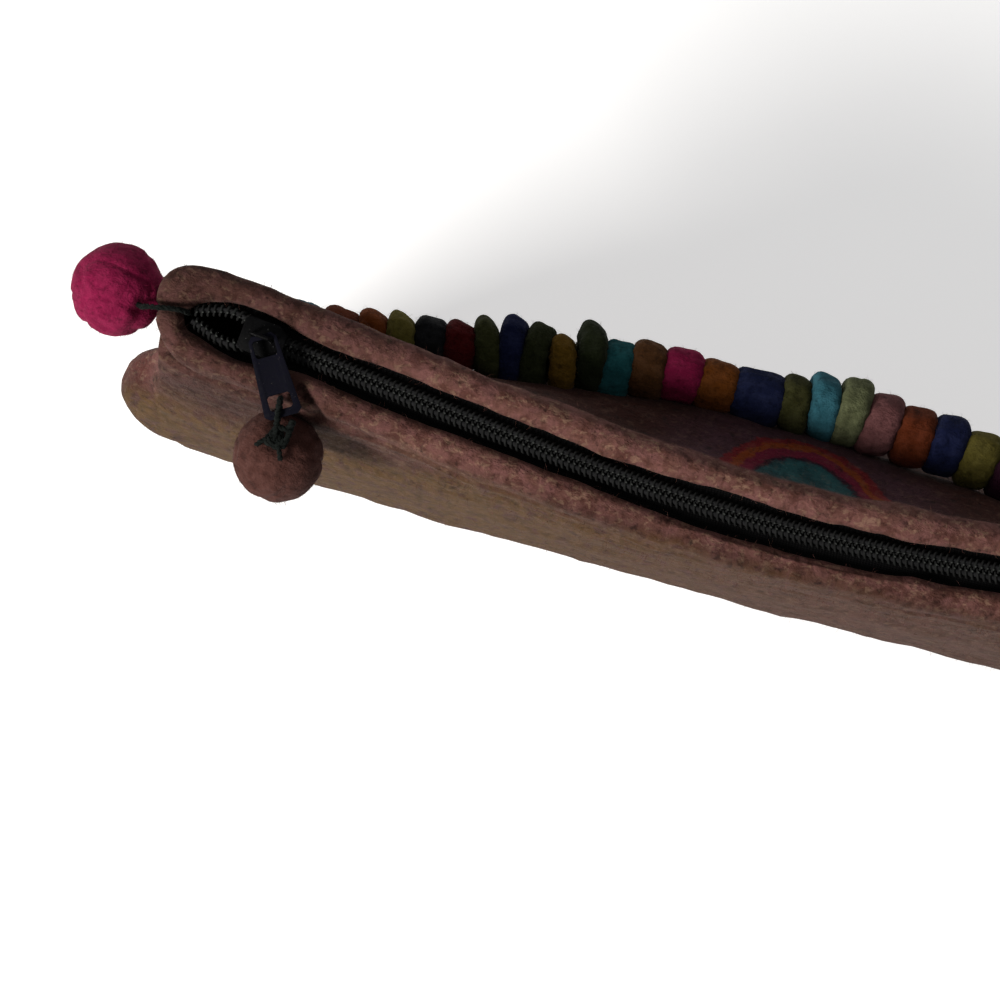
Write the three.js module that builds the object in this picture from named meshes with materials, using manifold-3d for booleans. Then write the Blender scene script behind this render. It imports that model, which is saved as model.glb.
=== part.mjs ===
// A felted wool handbag with a zip top and a strung handle of felt beads.
// Millimetres, +Z up. X runs along the zip, +Y is the front of the bag.
import * as THREE from 'three';
import { mergeVertices } from 'three/addons/utils/BufferGeometryUtils.js';
import Module from 'manifold-3d';

const wasm = await Module();
wasm.setup();

// Felt bag
const bagHeight = 200;
const bagHalfLength = 164;
const feltWall = 3;
const baseWall = 4;
const cornerRadius = 13;
const frontLine = -5.5;          // y of the front wall at the bag's ends
const frontSwell = 21;           // how far the front wall swells out in the middle
const backLine = -25;            // y of the back wall at the bag's ends
const backSwell = 2;
const swellReach = bagHalfLength + 1;

// Rolled lips beside the zip
const lipReach = 12.5;           // from the zip's centre line to the lip's outer edge
const lipThickness = 5;
const lipHalfLength = bagHalfLength - 4;
const slotHalfWidth = 4.2;
const slotHalfLength = lipHalfLength - 6.5;
const zipLineEnd = 0.5;          // y of the zip line at the bag's ends
const zipBow = 13.4;             // how far the zip line bows to the back in the middle
const zipBowEase = 0.85;         // below 1 the bow starts closer to the ends

// Zip
const zipHalfLength = slotHalfLength - 2.5;
const coilWidth = 2.85;
const coilHeight = 2.3;
const coilChamfer = 0.6;
const tapeThickness = 0.7;
const tapeEdge = 7.4;            // from the zip line to the tape's hidden edge
const tapeInner = 1.2;
const eyeSpread = 2.7;           // how far each side opens at the eye
const eyeLength = 23;
const eyeStart = -zipHalfLength - 2;
const eyeEnd = eyeStart + eyeLength;
const slotEyeEnd = eyeEnd + 8;   // where the slot in the felt is narrow again
const gap = 0.3;                 // between pieces that touch

// Slider and pull
const legX = eyeEnd - 0.7;       // the bridge's rear leg, which passes through the tab
const legToPivot = 2.2;
const sliderLength = 11;
const sliderHalfWidth = 4.3;
const sliderPlate = 1.1;
const sliderPostRadius = 1.1;
const sliderNose = 2.5;           // length of the plate's narrowing towards the front
const sliderTail = 1.2;
const noseWidth = 5.4;
const tailWidth = 6.9;
const postInset = 0.5;           // from the plate's rear edge to the post
const bridgeWire = 0.5;
const bridgeFront = 3;           // from the pivot to the bridge's front leg
const pivotRise = 2.6;           // the pivot above the slider's top plate
const bridgeRise = 1.6;          // the bridge's bar above the pivot
const tabYaw = -59 * Math.PI / 180;
const tabThickness = 1.2;
const tabLength = 20.1;
const tabHeadWidth = 7;
const tabEndWidth = 8;
const tabCorner = 1;
const tabHoleHalfWidth = 2.7;
const tabHoleLength = 4.4;
const windowLength = 3.8;
const windowRim = 1.9;            // from the window to the tab's end
const windowStart = tabLength - windowRim - windowLength;
const windowWidth = 5;
const holeCorner = 0.2;          // share of a hole's smaller side
const ballDiameter = 23;
const ballX = legX + 8;
const ballDrop = 13;             // the pull ball's centre below the lips' top
const boreRadius = 2.1;
const tieRadius = 0.7;
const knotRadius = 1.9;
const knotShiftX = -1.3;         // from the pull ball's centre to its knot
const knotShiftY = 2.2;

// Handle strung on one thread
const threadRadius = 0.9;
const strandDrop = 34;           // depth of the strand's line below the lips' top
const seat = 0.6;                // between a bead and the felt wall
const ballSpace = 1;             // bare thread between an end ball and the bead next to it
const usualRadius = 7.8;         // of the beads that the strand's line is drawn for

// Shapes of the beads. roundness: 1 for a ball, less for a disc with round edges.
const shapes = {
  disc: { roundness: 0.72, bands: 5, sides: 10 },
  bead: { roundness: 1, bands: 6, sides: 10 },
  ball: { roundness: 1, bands: 8, sides: 12 },
};
const roundBead = 0.9;           // a bead at least this thick for its width is round

// The wall's levels. rise: share of the bag's height. full: share of the belly's thickness.
// reach: share of the half length. middle, end, back: shares of the way from the belly's
// line to the lip's line, on the front in the middle and at the ends, and on the back.
const wallLevels = [
  { rise: 0.000, full: 0.62, reach: 0.955, middle: 0.00, end: 0.00, back: 0.00 },
  { rise: 0.010, full: 0.77, reach: 0.982, middle: 0.00, end: 0.00, back: 0.00 },
  { rise: 0.040, full: 0.91, reach: 1.008, middle: 0.00, end: 0.00, back: 0.00 },
  { rise: 0.110, full: 0.99, reach: 1.036, middle: 0.00, end: 0.00, back: 0.00 },
  { rise: 0.250, full: 1.00, reach: 1.064, middle: 0.00, end: 0.00, back: 0.00 },
  { rise: 0.420, full: 1.00, reach: 1.082, middle: 0.00, end: 0.00, back: 0.00 },
  { rise: 0.580, full: 1.00, reach: 1.082, middle: 0.00, end: 0.00, back: 0.02 },
  { rise: 0.700, full: 1.00, reach: 1.056, middle: 0.00, end: 0.00, back: 0.14 },
  { rise: 0.790, full: 1.00, reach: 1.012, middle: 0.02, end: 0.00, back: 0.40 },
  { rise: 0.835, full: 1.00, reach: 0.990, middle: 0.12, end: 0.00, back: 0.58 },
  { rise: 0.870, full: 1.00, reach: 0.978, middle: 0.32, end: 0.02, back: 0.74 },
  { rise: 0.905, full: 1.00, reach: 0.972, middle: 0.56, end: 0.12, back: 0.87 },
  { rise: 0.932, full: 1.00, reach: 0.968, middle: 0.77, end: 0.50, back: 0.94 },
  { rise: 0.955, full: 1.00, reach: 0.970, middle: 0.93, end: 0.90, back: 0.98 },
  { rise: 0.975, full: 1.00, reach: 0.976, middle: 1.00, end: 1.00, back: 1.00 },
];

// The lip rolls over from its outer edge to the slot. up: share of the lip's thickness.
// out: share of the way from the slot's edge to the lip's outer edge.
const lipRoll = [
  { up: 0.68, out: 0.90 },
  { up: 1.00, out: 0.50 },
  { up: 0.84, out: 0.16 },
  { up: 0.42, out: 0.02 },
  { up: 0.00, out: 0.00 },
];

// Tucks pressed into the felt. along, rise: shares of the half length and the height.
// pushX, pushY: shares of the belly's thickness. spread: share of the height.
const tucks = [
  { along: -1.00, rise: 0.80, y: backLine, pushX: 0.16, pushY: 0.16, spread: 0.09 },
  { along: 1.00, rise: 0.74, y: backLine, pushX: -0.12, pushY: 0.12, spread: 0.09 },
];

// Felt colours of the beads and balls
const shades = {
  rose: 0xa0455f, slate: 0x3f4c5a, plum: 0x5a2340, moss: 0x55602a, sky: 0x4f8ea0, rust: 0x9a4a22,
  orange: 0xc86a2a, straw: 0xa39a3f, charcoal: 0x2c2c2e, dark_red: 0x78141a, olive: 0x5c6128,
  navy: 0x232f66, dark_olive: 0x3a4522, mustard: 0xb08424, forest: 0x2f3f20, teal: 0x36808a,
  ochre: 0x7d5a28, magenta: 0xa01c50, tan_orange: 0xa8602a, indigo: 0x1f2a5e, leaf: 0x62642a,
  turquoise: 0x3c8ea2, sage: 0x9aa274, pink: 0xb8888a,
};

// The beads in order from the left end ball. thick, wide: sizes in mm. out: how far a bead
// stands off beyond its seat. drop: how far it hangs below the strand's line. bare: a length of
// bare thread after it.
const beadRows = [
  { shade: 'rose', thick: 8.8, wide: 9.6, out: 0.0, drop: 0.0, bare: 2.8 },
  { shade: 'slate', thick: 9.8, wide: 10.6, out: 0.0, drop: 0.0, bare: 1.6 },
  { shade: 'plum', thick: 10.0, wide: 11.0, out: 0.8, drop: 0.0, bare: 0.0 },
  { shade: 'moss', thick: 9.6, wide: 15.0, out: 0.0, drop: 0.0, bare: 0.0 },
  { shade: 'sky', thick: 10.0, wide: 16.0, out: 0.0, drop: 0.0, bare: 0.0 },
  { shade: 'rust', thick: 8.8, wide: 15.5, out: 0.0, drop: 0.0, bare: 0.0 },
  { shade: 'orange', thick: 6.6, wide: 16.0, out: 0.0, drop: 0.0, bare: 0.0 },
  { shade: 'straw', thick: 6.2, wide: 16.0, out: 0.3, drop: 0.0, bare: 0.0 },
  { shade: 'charcoal', thick: 7.2, wide: 13.0, out: 2.2, drop: 0.3, bare: 0.0 },
  { shade: 'dark_red', thick: 7.0, wide: 14.0, out: 0.6, drop: 0.0, bare: 0.0 },
  { shade: 'olive', thick: 5.8, wide: 16.0, out: 0.5, drop: 0.5, bare: 0.0 },
  { shade: 'navy', thick: 6.0, wide: 16.6, out: 0.8, drop: 0.5, bare: 0.0 },
  { shade: 'dark_olive', thick: 5.8, wide: 15.0, out: 0.6, drop: -0.8, bare: 0.0 },
  { shade: 'mustard', thick: 5.6, wide: 13.0, out: 0.8, drop: -1.8, bare: 0.0 },
  { shade: 'forest', thick: 6.0, wide: 16.6, out: 1.2, drop: -0.6, bare: 0.0 },
  { shade: 'teal', thick: 7.0, wide: 13.6, out: 0.4, drop: 0.0, bare: 0.0 },
  { shade: 'ochre', thick: 7.6, wide: 14.8, out: 0.2, drop: 0.0, bare: 0.0 },
  { shade: 'magenta', thick: 8.8, wide: 14.2, out: 0.2, drop: 0.0, bare: 0.0 },
  { shade: 'tan_orange', thick: 8.6, wide: 13.2, out: 0.0, drop: 0.0, bare: 0.0 },
  { shade: 'indigo', thick: 11.6, wide: 13.2, out: 0.0, drop: 0.0, bare: 0.0 },
  { shade: 'leaf', thick: 6.4, wide: 13.8, out: 0.3, drop: 0.0, bare: 0.0 },
  { shade: 'turquoise', thick: 6.6, wide: 16.5, out: 0.2, drop: 0.0, bare: 0.0 },
  { shade: 'sage', thick: 6.4, wide: 17.0, out: 1.0, drop: 0.0, bare: 0.0 },
  { shade: 'pink', thick: 8.2, wide: 16.0, out: 0.2, drop: 0.0, bare: 0.0 },
  { shade: 'rust', thick: 8.4, wide: 15.5, out: 0.3, drop: 0.0, bare: 0.0 },
  { shade: 'navy', thick: 8.0, wide: 16.5, out: 0.2, drop: 0.4, bare: 0.0 },
  { shade: 'straw', thick: 8.2, wide: 15.0, out: 0.6, drop: 0.0, bare: 0.0 },
  { shade: 'plum', thick: 8.4, wide: 16.0, out: 0.2, drop: -0.4, bare: 0.0 },
  { shade: 'teal', thick: 7.8, wide: 16.5, out: 0.0, drop: 0.0, bare: 0.0 },
  { shade: 'mustard', thick: 9.0, wide: 14.5, out: 0.8, drop: 0.4, bare: 0.0 },
  { shade: 'slate', thick: 8.0, wide: 16.0, out: 0.3, drop: 0.0, bare: 0.0 },
  { shade: 'orange', thick: 8.4, wide: 16.0, out: 0.0, drop: 0.0, bare: 0.0 },
  { shade: 'moss', thick: 8.0, wide: 15.5, out: 0.2, drop: 0.0, bare: 0.0 },
  { shade: 'dark_red', thick: 9.2, wide: 14.5, out: 0.6, drop: 0.0, bare: 0.0 },
  { shade: 'turquoise', thick: 8.2, wide: 16.0, out: 0.2, drop: 0.0, bare: 0.0 },
  { shade: 'ochre', thick: 8.4, wide: 15.5, out: 0.0, drop: 0.0, bare: 0.0 },
  { shade: 'magenta', thick: 8.4, wide: 15.5, out: 0.0, drop: 0.0, bare: 0.0 },
  { shade: 'indigo', thick: 10.0, wide: 11.0, out: 0.8, drop: 0.0, bare: 1.6 },
  { shade: 'sky', thick: 9.8, wide: 10.6, out: 0.0, drop: 0.0, bare: 2.8 },
  { shade: 'tan_orange', thick: 8.8, wide: 9.6, out: 0.0, drop: 0.0, bare: 0.0 },
];

// The strand's line where it hangs past the bag's end, from the end ball inwards, in shares of
// the ball's diameter. past: beyond the bag's end. y: from the zip line's end. drop: below the
// lips' top.
const hangingRoute = [
  { past: 0.34, y: 0.075, drop: 0.59 },
  { past: 0.33, y: 0.165, drop: 1.22 },
  { past: 0.13, y: 0.245, drop: 1.48 },
  { past: -0.24, y: 0.225, drop: 1.54 },
];

const lipTop = bagHeight;
const lipFloor = bagHeight - lipThickness;
const coilBase = lipFloor;
const coilTop = coilBase + coilHeight;
const tapeTop = coilBase - gap;
const pivotX = legX - legToPivot;
const plateTop = coilTop + gap + sliderPlate;
const pivotZ = plateTop + pivotRise;

const colour = (hex, roughness = 0.95, metalness = 0) =>
  new THREE.MeshStandardMaterial({ color: hex, roughness, metalness });

const group = new THREE.Group();

function addMesh(name, geometry, material) {
  const mesh = new THREE.Mesh(geometry, material);
  mesh.name = name;
  group.add(mesh);
  return mesh;
}

// Shared lines of the bag

const bell = (x, reach) => 0.5 + 0.5 * Math.cos(Math.PI * Math.min(Math.abs(x), reach) / reach);
const swell = (x) => bell(x, swellReach);
const zipLine = (x) => zipLineEnd - zipBow * swell(x) ** zipBowEase;

function opening(x, start, end) {
  if (x <= start || x >= end) return 0;
  return eyeSpread * Math.sin(Math.PI * (x - start) / (end - start)) ** 2;
}

const mix = (a, b, share) => a + (b - a) * share;

function levelAt(rise) {
  const above = wallLevels.findIndex((level) => level.rise >= rise);
  if (above <= 0) return above === 0 ? wallLevels[0] : wallLevels[wallLevels.length - 1];
  const low = wallLevels[above - 1];
  const high = wallLevels[above];
  const share = (rise - low.rise) / (high.rise - low.rise);
  const level = {};
  for (const key of Object.keys(low)) level[key] = mix(low[key], high[key], share);
  return level;
}

// The y of the front and back walls at x, on one level
function wallLines(x, level) {
  const bellyFront = frontLine + frontSwell * swell(x);
  const bellyBack = backLine - backSwell * swell(x);
  const middle = (bellyFront + bellyBack) / 2;
  const half = (bellyFront - bellyBack) / 2 * level.full;
  const frontBlend = mix(level.end, level.middle, swell(x));
  return {
    front: mix(middle + half, zipLine(x) + lipReach, frontBlend),
    back: mix(middle - half, zipLine(x) - lipReach, level.back),
  };
}

const frontWall = (x, z) => wallLines(x, levelAt(z / bagHeight)).front;
const backWall = (x, z) => wallLines(x, levelAt(z / bagHeight)).back;

function pressTucks(point) {
  const thickness = frontLine - backLine + frontSwell;
  for (const tuck of tucks) {
    const dx = point.x - tuck.along * bagHalfLength;
    const dy = point.y - tuck.y;
    const dz = point.z - tuck.rise * bagHeight;
    const spread = tuck.spread * bagHeight;
    const strength = Math.exp(-(dx * dx + dy * dy + dz * dz) / (spread * spread));
    point.x += tuck.pushX * thickness * strength;
    point.y += tuck.pushY * thickness * strength;
  }
  return point;
}

// Lofting

// Closed surface through rings of equal length. The first and last rings are closed by fans.
function loft(rings) {
  const count = rings[0].length;
  const positions = [];
  const triangles = [];
  for (const ring of rings) {
    for (const point of ring) positions.push(point.x, point.y, point.z);
  }
  for (let level = 0; level + 1 < rings.length; level += 1) {
    for (let i = 0; i < count; i += 1) {
      const next = (i + 1) % count;
      const a = level * count + i;
      const b = level * count + next;
      triangles.push(a, b, b + count, a, b + count, a + count);
    }
  }
  const closeRing = (ring, first, facingBack) => {
    const centre = new THREE.Vector3();
    for (const point of ring) centre.add(point);
    centre.divideScalar(count);
    const hub = positions.length / 3;
    positions.push(centre.x, centre.y, centre.z);
    for (let i = 0; i < count; i += 1) {
      const next = (i + 1) % count;
      if (facingBack) triangles.push(hub, first + next, first + i);
      else triangles.push(hub, first + i, first + next);
    }
  };
  closeRing(rings[0], 0, true);
  closeRing(rings[rings.length - 1], (rings.length - 1) * count, false);
  const geometry = new THREE.BufferGeometry();
  geometry.setAttribute('position', new THREE.Float32BufferAttribute(positions, 3));
  geometry.setIndex(triangles);
  geometry.computeVertexNormals();
  return geometry;
}

// One ring of the bag: straight sides with round ends, seen from above. Its stations lie
// closer together beside the zip's eye.
const eyeSteps = 5;
const plainSteps = 15;
const cornerAngles = [Math.PI / 6, Math.PI / 3];

function bagRing(z, halfLength, radius, lines) {
  const straight = halfLength - radius;
  const stations = [];
  for (let i = 0; i < eyeSteps; i += 1) {
    stations.push({ x: mix(-straight, slotEyeEnd, i / eyeSteps), width: 1 });
  }
  for (let i = 0; i <= plainSteps; i += 1) {
    stations.push({ x: mix(slotEyeEnd, straight, i / plainSteps), width: 1 });
  }
  for (const angle of cornerAngles) {
    const x = straight + radius * Math.sin(angle);
    stations.unshift({ x: -x, width: Math.cos(angle) });
    stations.push({ x, width: Math.cos(angle) });
  }
  const place = (x, side, width) => {
    const { front, back } = lines(Math.max(-straight, Math.min(straight, x)));
    const y = (front + back) / 2 + side * width * (front - back) / 2;
    return pressTucks(new THREE.Vector3(x, y, z));
  };
  const ring = [place(-halfLength, 0, 0)];
  for (const { x, width } of stations) ring.push(place(x, -1, width));
  ring.push(place(halfLength, 0, 0));
  for (const { x, width } of stations.reverse()) ring.push(place(x, 1, width));
  return ring;
}

function wallRing(level, inset) {
  const lines = (x) => {
    const { front, back } = wallLines(x, level);
    return { front: front - inset, back: back + inset };
  };
  return bagRing(level.rise * bagHeight, level.reach * bagHalfLength - inset, cornerRadius - inset, lines);
}

function lipRing(row) {
  const reach = mix(slotHalfWidth, lipReach, row.out);
  const lines = (x) => {
    const open = (1 - row.out) * opening(x, eyeStart, slotEyeEnd);
    return { front: zipLine(x) + reach + open, back: zipLine(x) - reach - open };
  };
  const halfLength = mix(slotHalfLength, lipHalfLength, row.out);
  return bagRing(mix(lipFloor, lipTop, row.up), halfLength, Math.min(reach, cornerRadius), lines);
}

function makeBag() {
  const rings = wallLevels.map((level) => wallRing(level, 0));
  for (const row of lipRoll) rings.push(lipRing(row));
  const innerTop = { ...levelAt(lipFloor / bagHeight), rise: lipFloor / bagHeight };
  rings.push(wallRing(innerTop, feltWall));
  const lowestInner = (baseWall + feltWall) / bagHeight;
  const inner = wallLevels.filter(({ rise }) => rise > lowestInner && rise < innerTop.rise);
  for (const level of inner.reverse()) rings.push(wallRing(level, feltWall));
  const floor = { ...levelAt(baseWall / bagHeight), rise: baseWall / bagHeight };
  rings.push(wallRing(floor, 2 * feltWall));
  return loft(rings);
}

addMesh('felt_bag', makeBag(), colour(0xb4806e));

// Zip tapes and coils, one of each on either side of the zip line

function zipStations() {
  const stations = [];
  const openSteps = 10;
  const closedSteps = 18;
  for (let i = 0; i < openSteps; i += 1) stations.push(mix(-zipHalfLength, eyeEnd, i / openSteps));
  for (let i = 0; i <= closedSteps; i += 1) stations.push(mix(eyeEnd, zipHalfLength, i / closedSteps));
  return stations;
}

// A bar along the zip on one side, from a section of distances from the zip line and heights
function zipBar(side, section) {
  const rings = zipStations().map((x) => {
    const open = opening(x, eyeStart, eyeEnd);
    const ring = section(open).map(([out, z]) => new THREE.Vector3(x, zipLine(x) + side * out, z));
    return side > 0 ? ring : ring.reverse();
  });
  return loft(rings);
}

const tapeSection = (open) => [
  [tapeInner + open, tapeTop - tapeThickness],
  [tapeEdge, tapeTop - tapeThickness],
  [tapeEdge, tapeTop],
  [tapeInner + open, tapeTop],
];

function coilSection(open) {
  const inner = gap / 2 + open;
  const outer = inner + coilWidth;
  return [
    [inner, coilBase],
    [outer, coilBase],
    [outer, coilTop - coilChamfer],
    [outer - coilChamfer, coilTop],
    [inner + coilChamfer / 2, coilTop],
    [inner, coilTop - coilChamfer / 2],
  ];
}

for (const [place, side] of [['front', 1], ['back', -1]]) {
  addMesh(`zip_tape_${place}`, zipBar(side, tapeSection), colour(0x2a2a2c));
  addMesh(`zip_coil_${place}`, zipBar(side, coilSection), colour(0x3a3a3c, 0.5));
}

// Slider, cut and joined as one casting

function toSolid(geometry) {
  const bare = geometry.clone();
  bare.deleteAttribute('normal');
  if (bare.getAttribute('uv')) bare.deleteAttribute('uv');
  const merged = mergeVertices(bare, 1e-4);
  const vertProperties = new Float32Array(merged.getAttribute('position').array);
  const triVerts = new Uint32Array(merged.getIndex().array);
  return new wasm.Manifold(new wasm.Mesh({ numProp: 3, vertProperties, triVerts }));
}

function toGeometry(solid) {
  const mesh = solid.getMesh();
  const geometry = new THREE.BufferGeometry();
  geometry.setAttribute('position', new THREE.BufferAttribute(new Float32Array(mesh.vertProperties), 3));
  geometry.setIndex(new THREE.BufferAttribute(new Uint32Array(mesh.triVerts), 1));
  geometry.computeVertexNormals();
  return geometry;
}

function join(geometries) {
  return toGeometry(geometries.map(toSolid).reduce((all, next) => all.add(next)));
}

// A rod of equal sides along a line of points, its ends closed. Each ring takes over the
// direction of the one before it, so the rod doesn't twist.
function rod(points, radius, sides) {
  const across = new THREE.Vector3(0.02, 1, 0.3);
  const rings = points.map((point, i) => {
    const before = points[Math.max(i - 1, 0)];
    const after = points[Math.min(i + 1, points.length - 1)];
    const along = after.clone().sub(before).normalize();
    across.addScaledVector(along, -across.dot(along)).normalize();
    const up = new THREE.Vector3().crossVectors(along, across);
    return Array.from({ length: sides }, (_, k) => {
      const angle = 2 * Math.PI * k / sides;
      return point.clone()
        .addScaledVector(across, radius * Math.cos(angle))
        .addScaledVector(up, radius * Math.sin(angle));
    });
  });
  return loft(rings);
}

// One of the slider's plates, with its underside at z
function plate(z) {
  const half = sliderLength / 2;
  const side = [
    [-half, tailWidth / 2],
    [-half + sliderTail, sliderHalfWidth],
    [half - sliderNose, sliderHalfWidth],
    [half, noseWidth / 2],
  ];
  const outline = side.map(([x, y]) => new THREE.Vector2(x, -y));
  outline.push(...side.reverse().map(([x, y]) => new THREE.Vector2(x, y)));
  const settings = { depth: sliderPlate, bevelEnabled: false };
  return new THREE.ExtrudeGeometry(new THREE.Shape(outline), settings).translate(0, 0, z);
}

function makeSlider() {
  const lowPlateTop = tapeTop - tapeThickness - gap;
  const bury = sliderPlate / 2;
  const postX = postInset + sliderPostRadius - sliderLength / 2;
  const post = [
    new THREE.Vector3(postX, 0, lowPlateTop - bury),
    new THREE.Vector3(postX, 0, plateTop - bury),
  ];
  const bar = pivotRise + bridgeRise;
  const bridge = [
    new THREE.Vector3(-bridgeFront, 0, -bury),
    new THREE.Vector3(-bridgeFront, 0, bar - bridgeWire),
    new THREE.Vector3(-bridgeFront + bridgeWire, 0, bar),
    new THREE.Vector3(legToPivot - bridgeWire, 0, bar),
    new THREE.Vector3(legToPivot, 0, bar - bridgeWire),
    new THREE.Vector3(legToPivot, 0, -bury),
  ];
  for (const point of bridge) point.z += plateTop;
  return join([
    plate(plateTop - sliderPlate),
    plate(lowPlateTop - sliderPlate),
    rod(post, sliderPostRadius, 10),
    rod(bridge, bridgeWire, 8),
  ]);
}

const zipSlope = Math.atan((zipLine(pivotX + 1) - zipLine(pivotX - 1)) / 2);
const pivot = new THREE.Vector3(pivotX, zipLine(pivotX), pivotZ);
const slider = addMesh('zip_slider', makeSlider(), colour(0x1c1c20, 0.4, 0.8));
slider.position.set(pivot.x, pivot.y, 0);
slider.rotation.z = zipSlope;

// Pull tab: a flat bar with an eye for the bridge and a window for the tie

function slotHole(start, length, halfWidth) {
  const cut = Math.min(length, halfWidth) * holeCorner;
  const hole = new THREE.Path();
  hole.moveTo(start, -halfWidth + cut);
  hole.lineTo(start, halfWidth - cut);
  hole.lineTo(start + cut, halfWidth);
  hole.lineTo(start + length - cut, halfWidth);
  hole.lineTo(start + length, halfWidth - cut);
  hole.lineTo(start + length, -halfWidth + cut);
  hole.lineTo(start + length - cut, -halfWidth);
  hole.lineTo(start + cut, -halfWidth);
  hole.closePath();
  return hole;
}

function makeTab() {
  const rim = tabThickness / 2;
  const head = tabHeadWidth / 2;
  const end = tabEndWidth / 2;
  const shape = new THREE.Shape();
  shape.moveTo(-rim, -head + tabCorner);
  shape.lineTo(rim, -head);
  shape.lineTo(tabLength - tabCorner, -end);
  shape.lineTo(tabLength, -end + tabCorner);
  shape.lineTo(tabLength, end - tabCorner);
  shape.lineTo(tabLength - tabCorner, end);
  shape.lineTo(rim, head);
  shape.lineTo(-rim, head - tabCorner);
  shape.closePath();
  shape.holes.push(slotHole(rim, tabHoleLength, tabHoleHalfWidth));
  shape.holes.push(slotHole(windowStart, windowLength, windowWidth / 2));
  const geometry = new THREE.ExtrudeGeometry(shape, { depth: tabThickness, bevelEnabled: false });
  return geometry.translate(0, 0, -tabThickness / 2);
}

const tab = addMesh('pull_tab', makeTab(), colour(0x1c2036, 0.45, 0.6));
tab.position.copy(pivot);
tab.rotation.z = tabYaw;

// Beads and balls are turned solids with a bore for the thread

const upAxis = new THREE.Vector3(0, 1, 0);

function makeBead(thick, wide, { roundness, bands, sides }) {
  const half = thick / 2;
  const radius = wide / 2;
  const profile = [new THREE.Vector2(boreRadius, half)];
  for (let i = 1; i < bands; i += 1) {
    const angle = Math.PI / 2 - Math.PI * i / bands;
    const out = Math.abs(Math.cos(angle)) ** roundness * radius;
    const along = Math.sign(angle) * Math.abs(Math.sin(angle)) ** roundness * half;
    profile.push(new THREE.Vector2(out, along));
  }
  profile.push(new THREE.Vector2(boreRadius, -half));
  profile.push(profile[0].clone());
  profile.reverse();
  return toGeometry(toSolid(new THREE.LatheGeometry(profile, sides)));
}

function placeBead(name, geometry, material, centre, axis) {
  const bead = addMesh(name, geometry, material);
  bead.position.copy(centre);
  bead.quaternion.setFromUnitVectors(upAxis, axis);
}

// The balls' flats lie where the bore cuts them
const ballThick = Math.sqrt(ballDiameter ** 2 - (2 * boreRadius) ** 2);
const makeBall = () => makeBead(ballThick, ballDiameter, shapes.ball);

// Pull ball, held to the tab's window by a knotted tie
function makePull() {
  const z = lipTop - ballDrop;
  const y = backWall(ballX, z) - ballDiameter / 2 - seat;
  const centre = new THREE.Vector3(ballX, y, z);
  const lean = new THREE.Vector3(knotShiftX, knotShiftY, ballDiameter / 2 + knotRadius).normalize();
  const knot = centre.clone().addScaledVector(lean, ballDiameter / 2 + knotRadius);
  const eye = new THREE.Vector3(windowStart + windowLength / 2, 0, 0);
  eye.applyAxisAngle(new THREE.Vector3(0, 0, 1), tabYaw).add(pivot);
  const rise = tabThickness / 2 + tieRadius + gap;
  const toward = knot.clone().sub(eye).setZ(0).normalize();
  const edge = eye.clone().addScaledVector(toward, tabEndWidth / 2 + tieRadius);
  const loop = [
    knot,
    edge.clone().setZ(pivot.z - rise),
    eye.clone().setZ(pivot.z - rise),
    eye.clone().setZ(pivot.z + rise),
    edge.clone().setZ(pivot.z + rise),
    knot,
  ];
  const knotBall = new THREE.SphereGeometry(knotRadius, 9, 6).translate(knot.x, knot.y, knot.z);
  const stem = rod([centre.clone().addScaledVector(lean, -ballDiameter / 3), knot], tieRadius, 6);
  addMesh('pull_tie', join([knotBall, stem, rod(loop, tieRadius, 6)]), colour(0x23332f));
  placeBead('pull_ball', makeBall(), colour(0xb07868), centre, lean);
}

makePull();

// Handle: two end balls and the beads between them, on one thread from zip end to zip end

const straightWall = bagHalfLength - cornerRadius;

// A point of the strand's line beside the front wall, for a bead of this radius
function besideWall(x, drop, radius) {
  const z = lipTop - drop;
  return new THREE.Vector3(x, frontWall(x, z) + seat + radius, z);
}

function strandLine() {
  const hanging = (side) => hangingRoute.map(({ past, y, drop }) => {
    const x = side * (bagHalfLength + past * ballDiameter);
    return new THREE.Vector3(x, zipLineEnd + y * ballDiameter, lipTop - drop * ballDiameter);
  });
  const points = hanging(-1);
  const wallSteps = 24;
  for (let i = 0; i <= wallSteps; i += 1) {
    points.push(besideWall(mix(-straightWall, straightWall, i / wallSteps), strandDrop, usualRadius));
  }
  points.push(...hanging(1).reverse());
  return new THREE.CatmullRomCurve3(points, false, 'centripetal');
}

// Spreads the beads evenly over the line. Each stop has its centre and its sizes.
function strandStops() {
  const line = strandLine();
  line.arcLengthDivisions = 800;
  const length = line.getLength();
  const sizes = beadRows.map(({ thick, bare }) => thick + bare);
  const filled = sizes.reduce((sum, thick) => sum + thick, ballThick + 2 * ballSpace);
  const space = (length - filled) / (beadRows.length + 1);
  let travelled = ballThick / 2 + ballSpace + space;
  const stops = beadRows.map((row, i) => {
    travelled += row.thick / 2;
    const centre = line.getPointAt(travelled / length);
    travelled += row.thick / 2 + row.bare + space;
    if (Math.abs(centre.x) < straightWall) {
      centre.copy(besideWall(centre.x, lipTop - centre.z + row.drop, row.wide / 2 + row.out));
    }
    const number = String(i + 1).padStart(2, '0');
    return { ...row, name: `bead_${number}_${row.shade}`, centre };
  });
  const ball = { shade: 'magenta', thick: ballThick, wide: ballDiameter };
  stops.unshift({ ...ball, name: 'end_ball_left', centre: line.getPointAt(0) });
  stops.push({ ...ball, name: 'end_ball_right', centre: line.getPointAt(1) });
  return stops;
}

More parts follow.
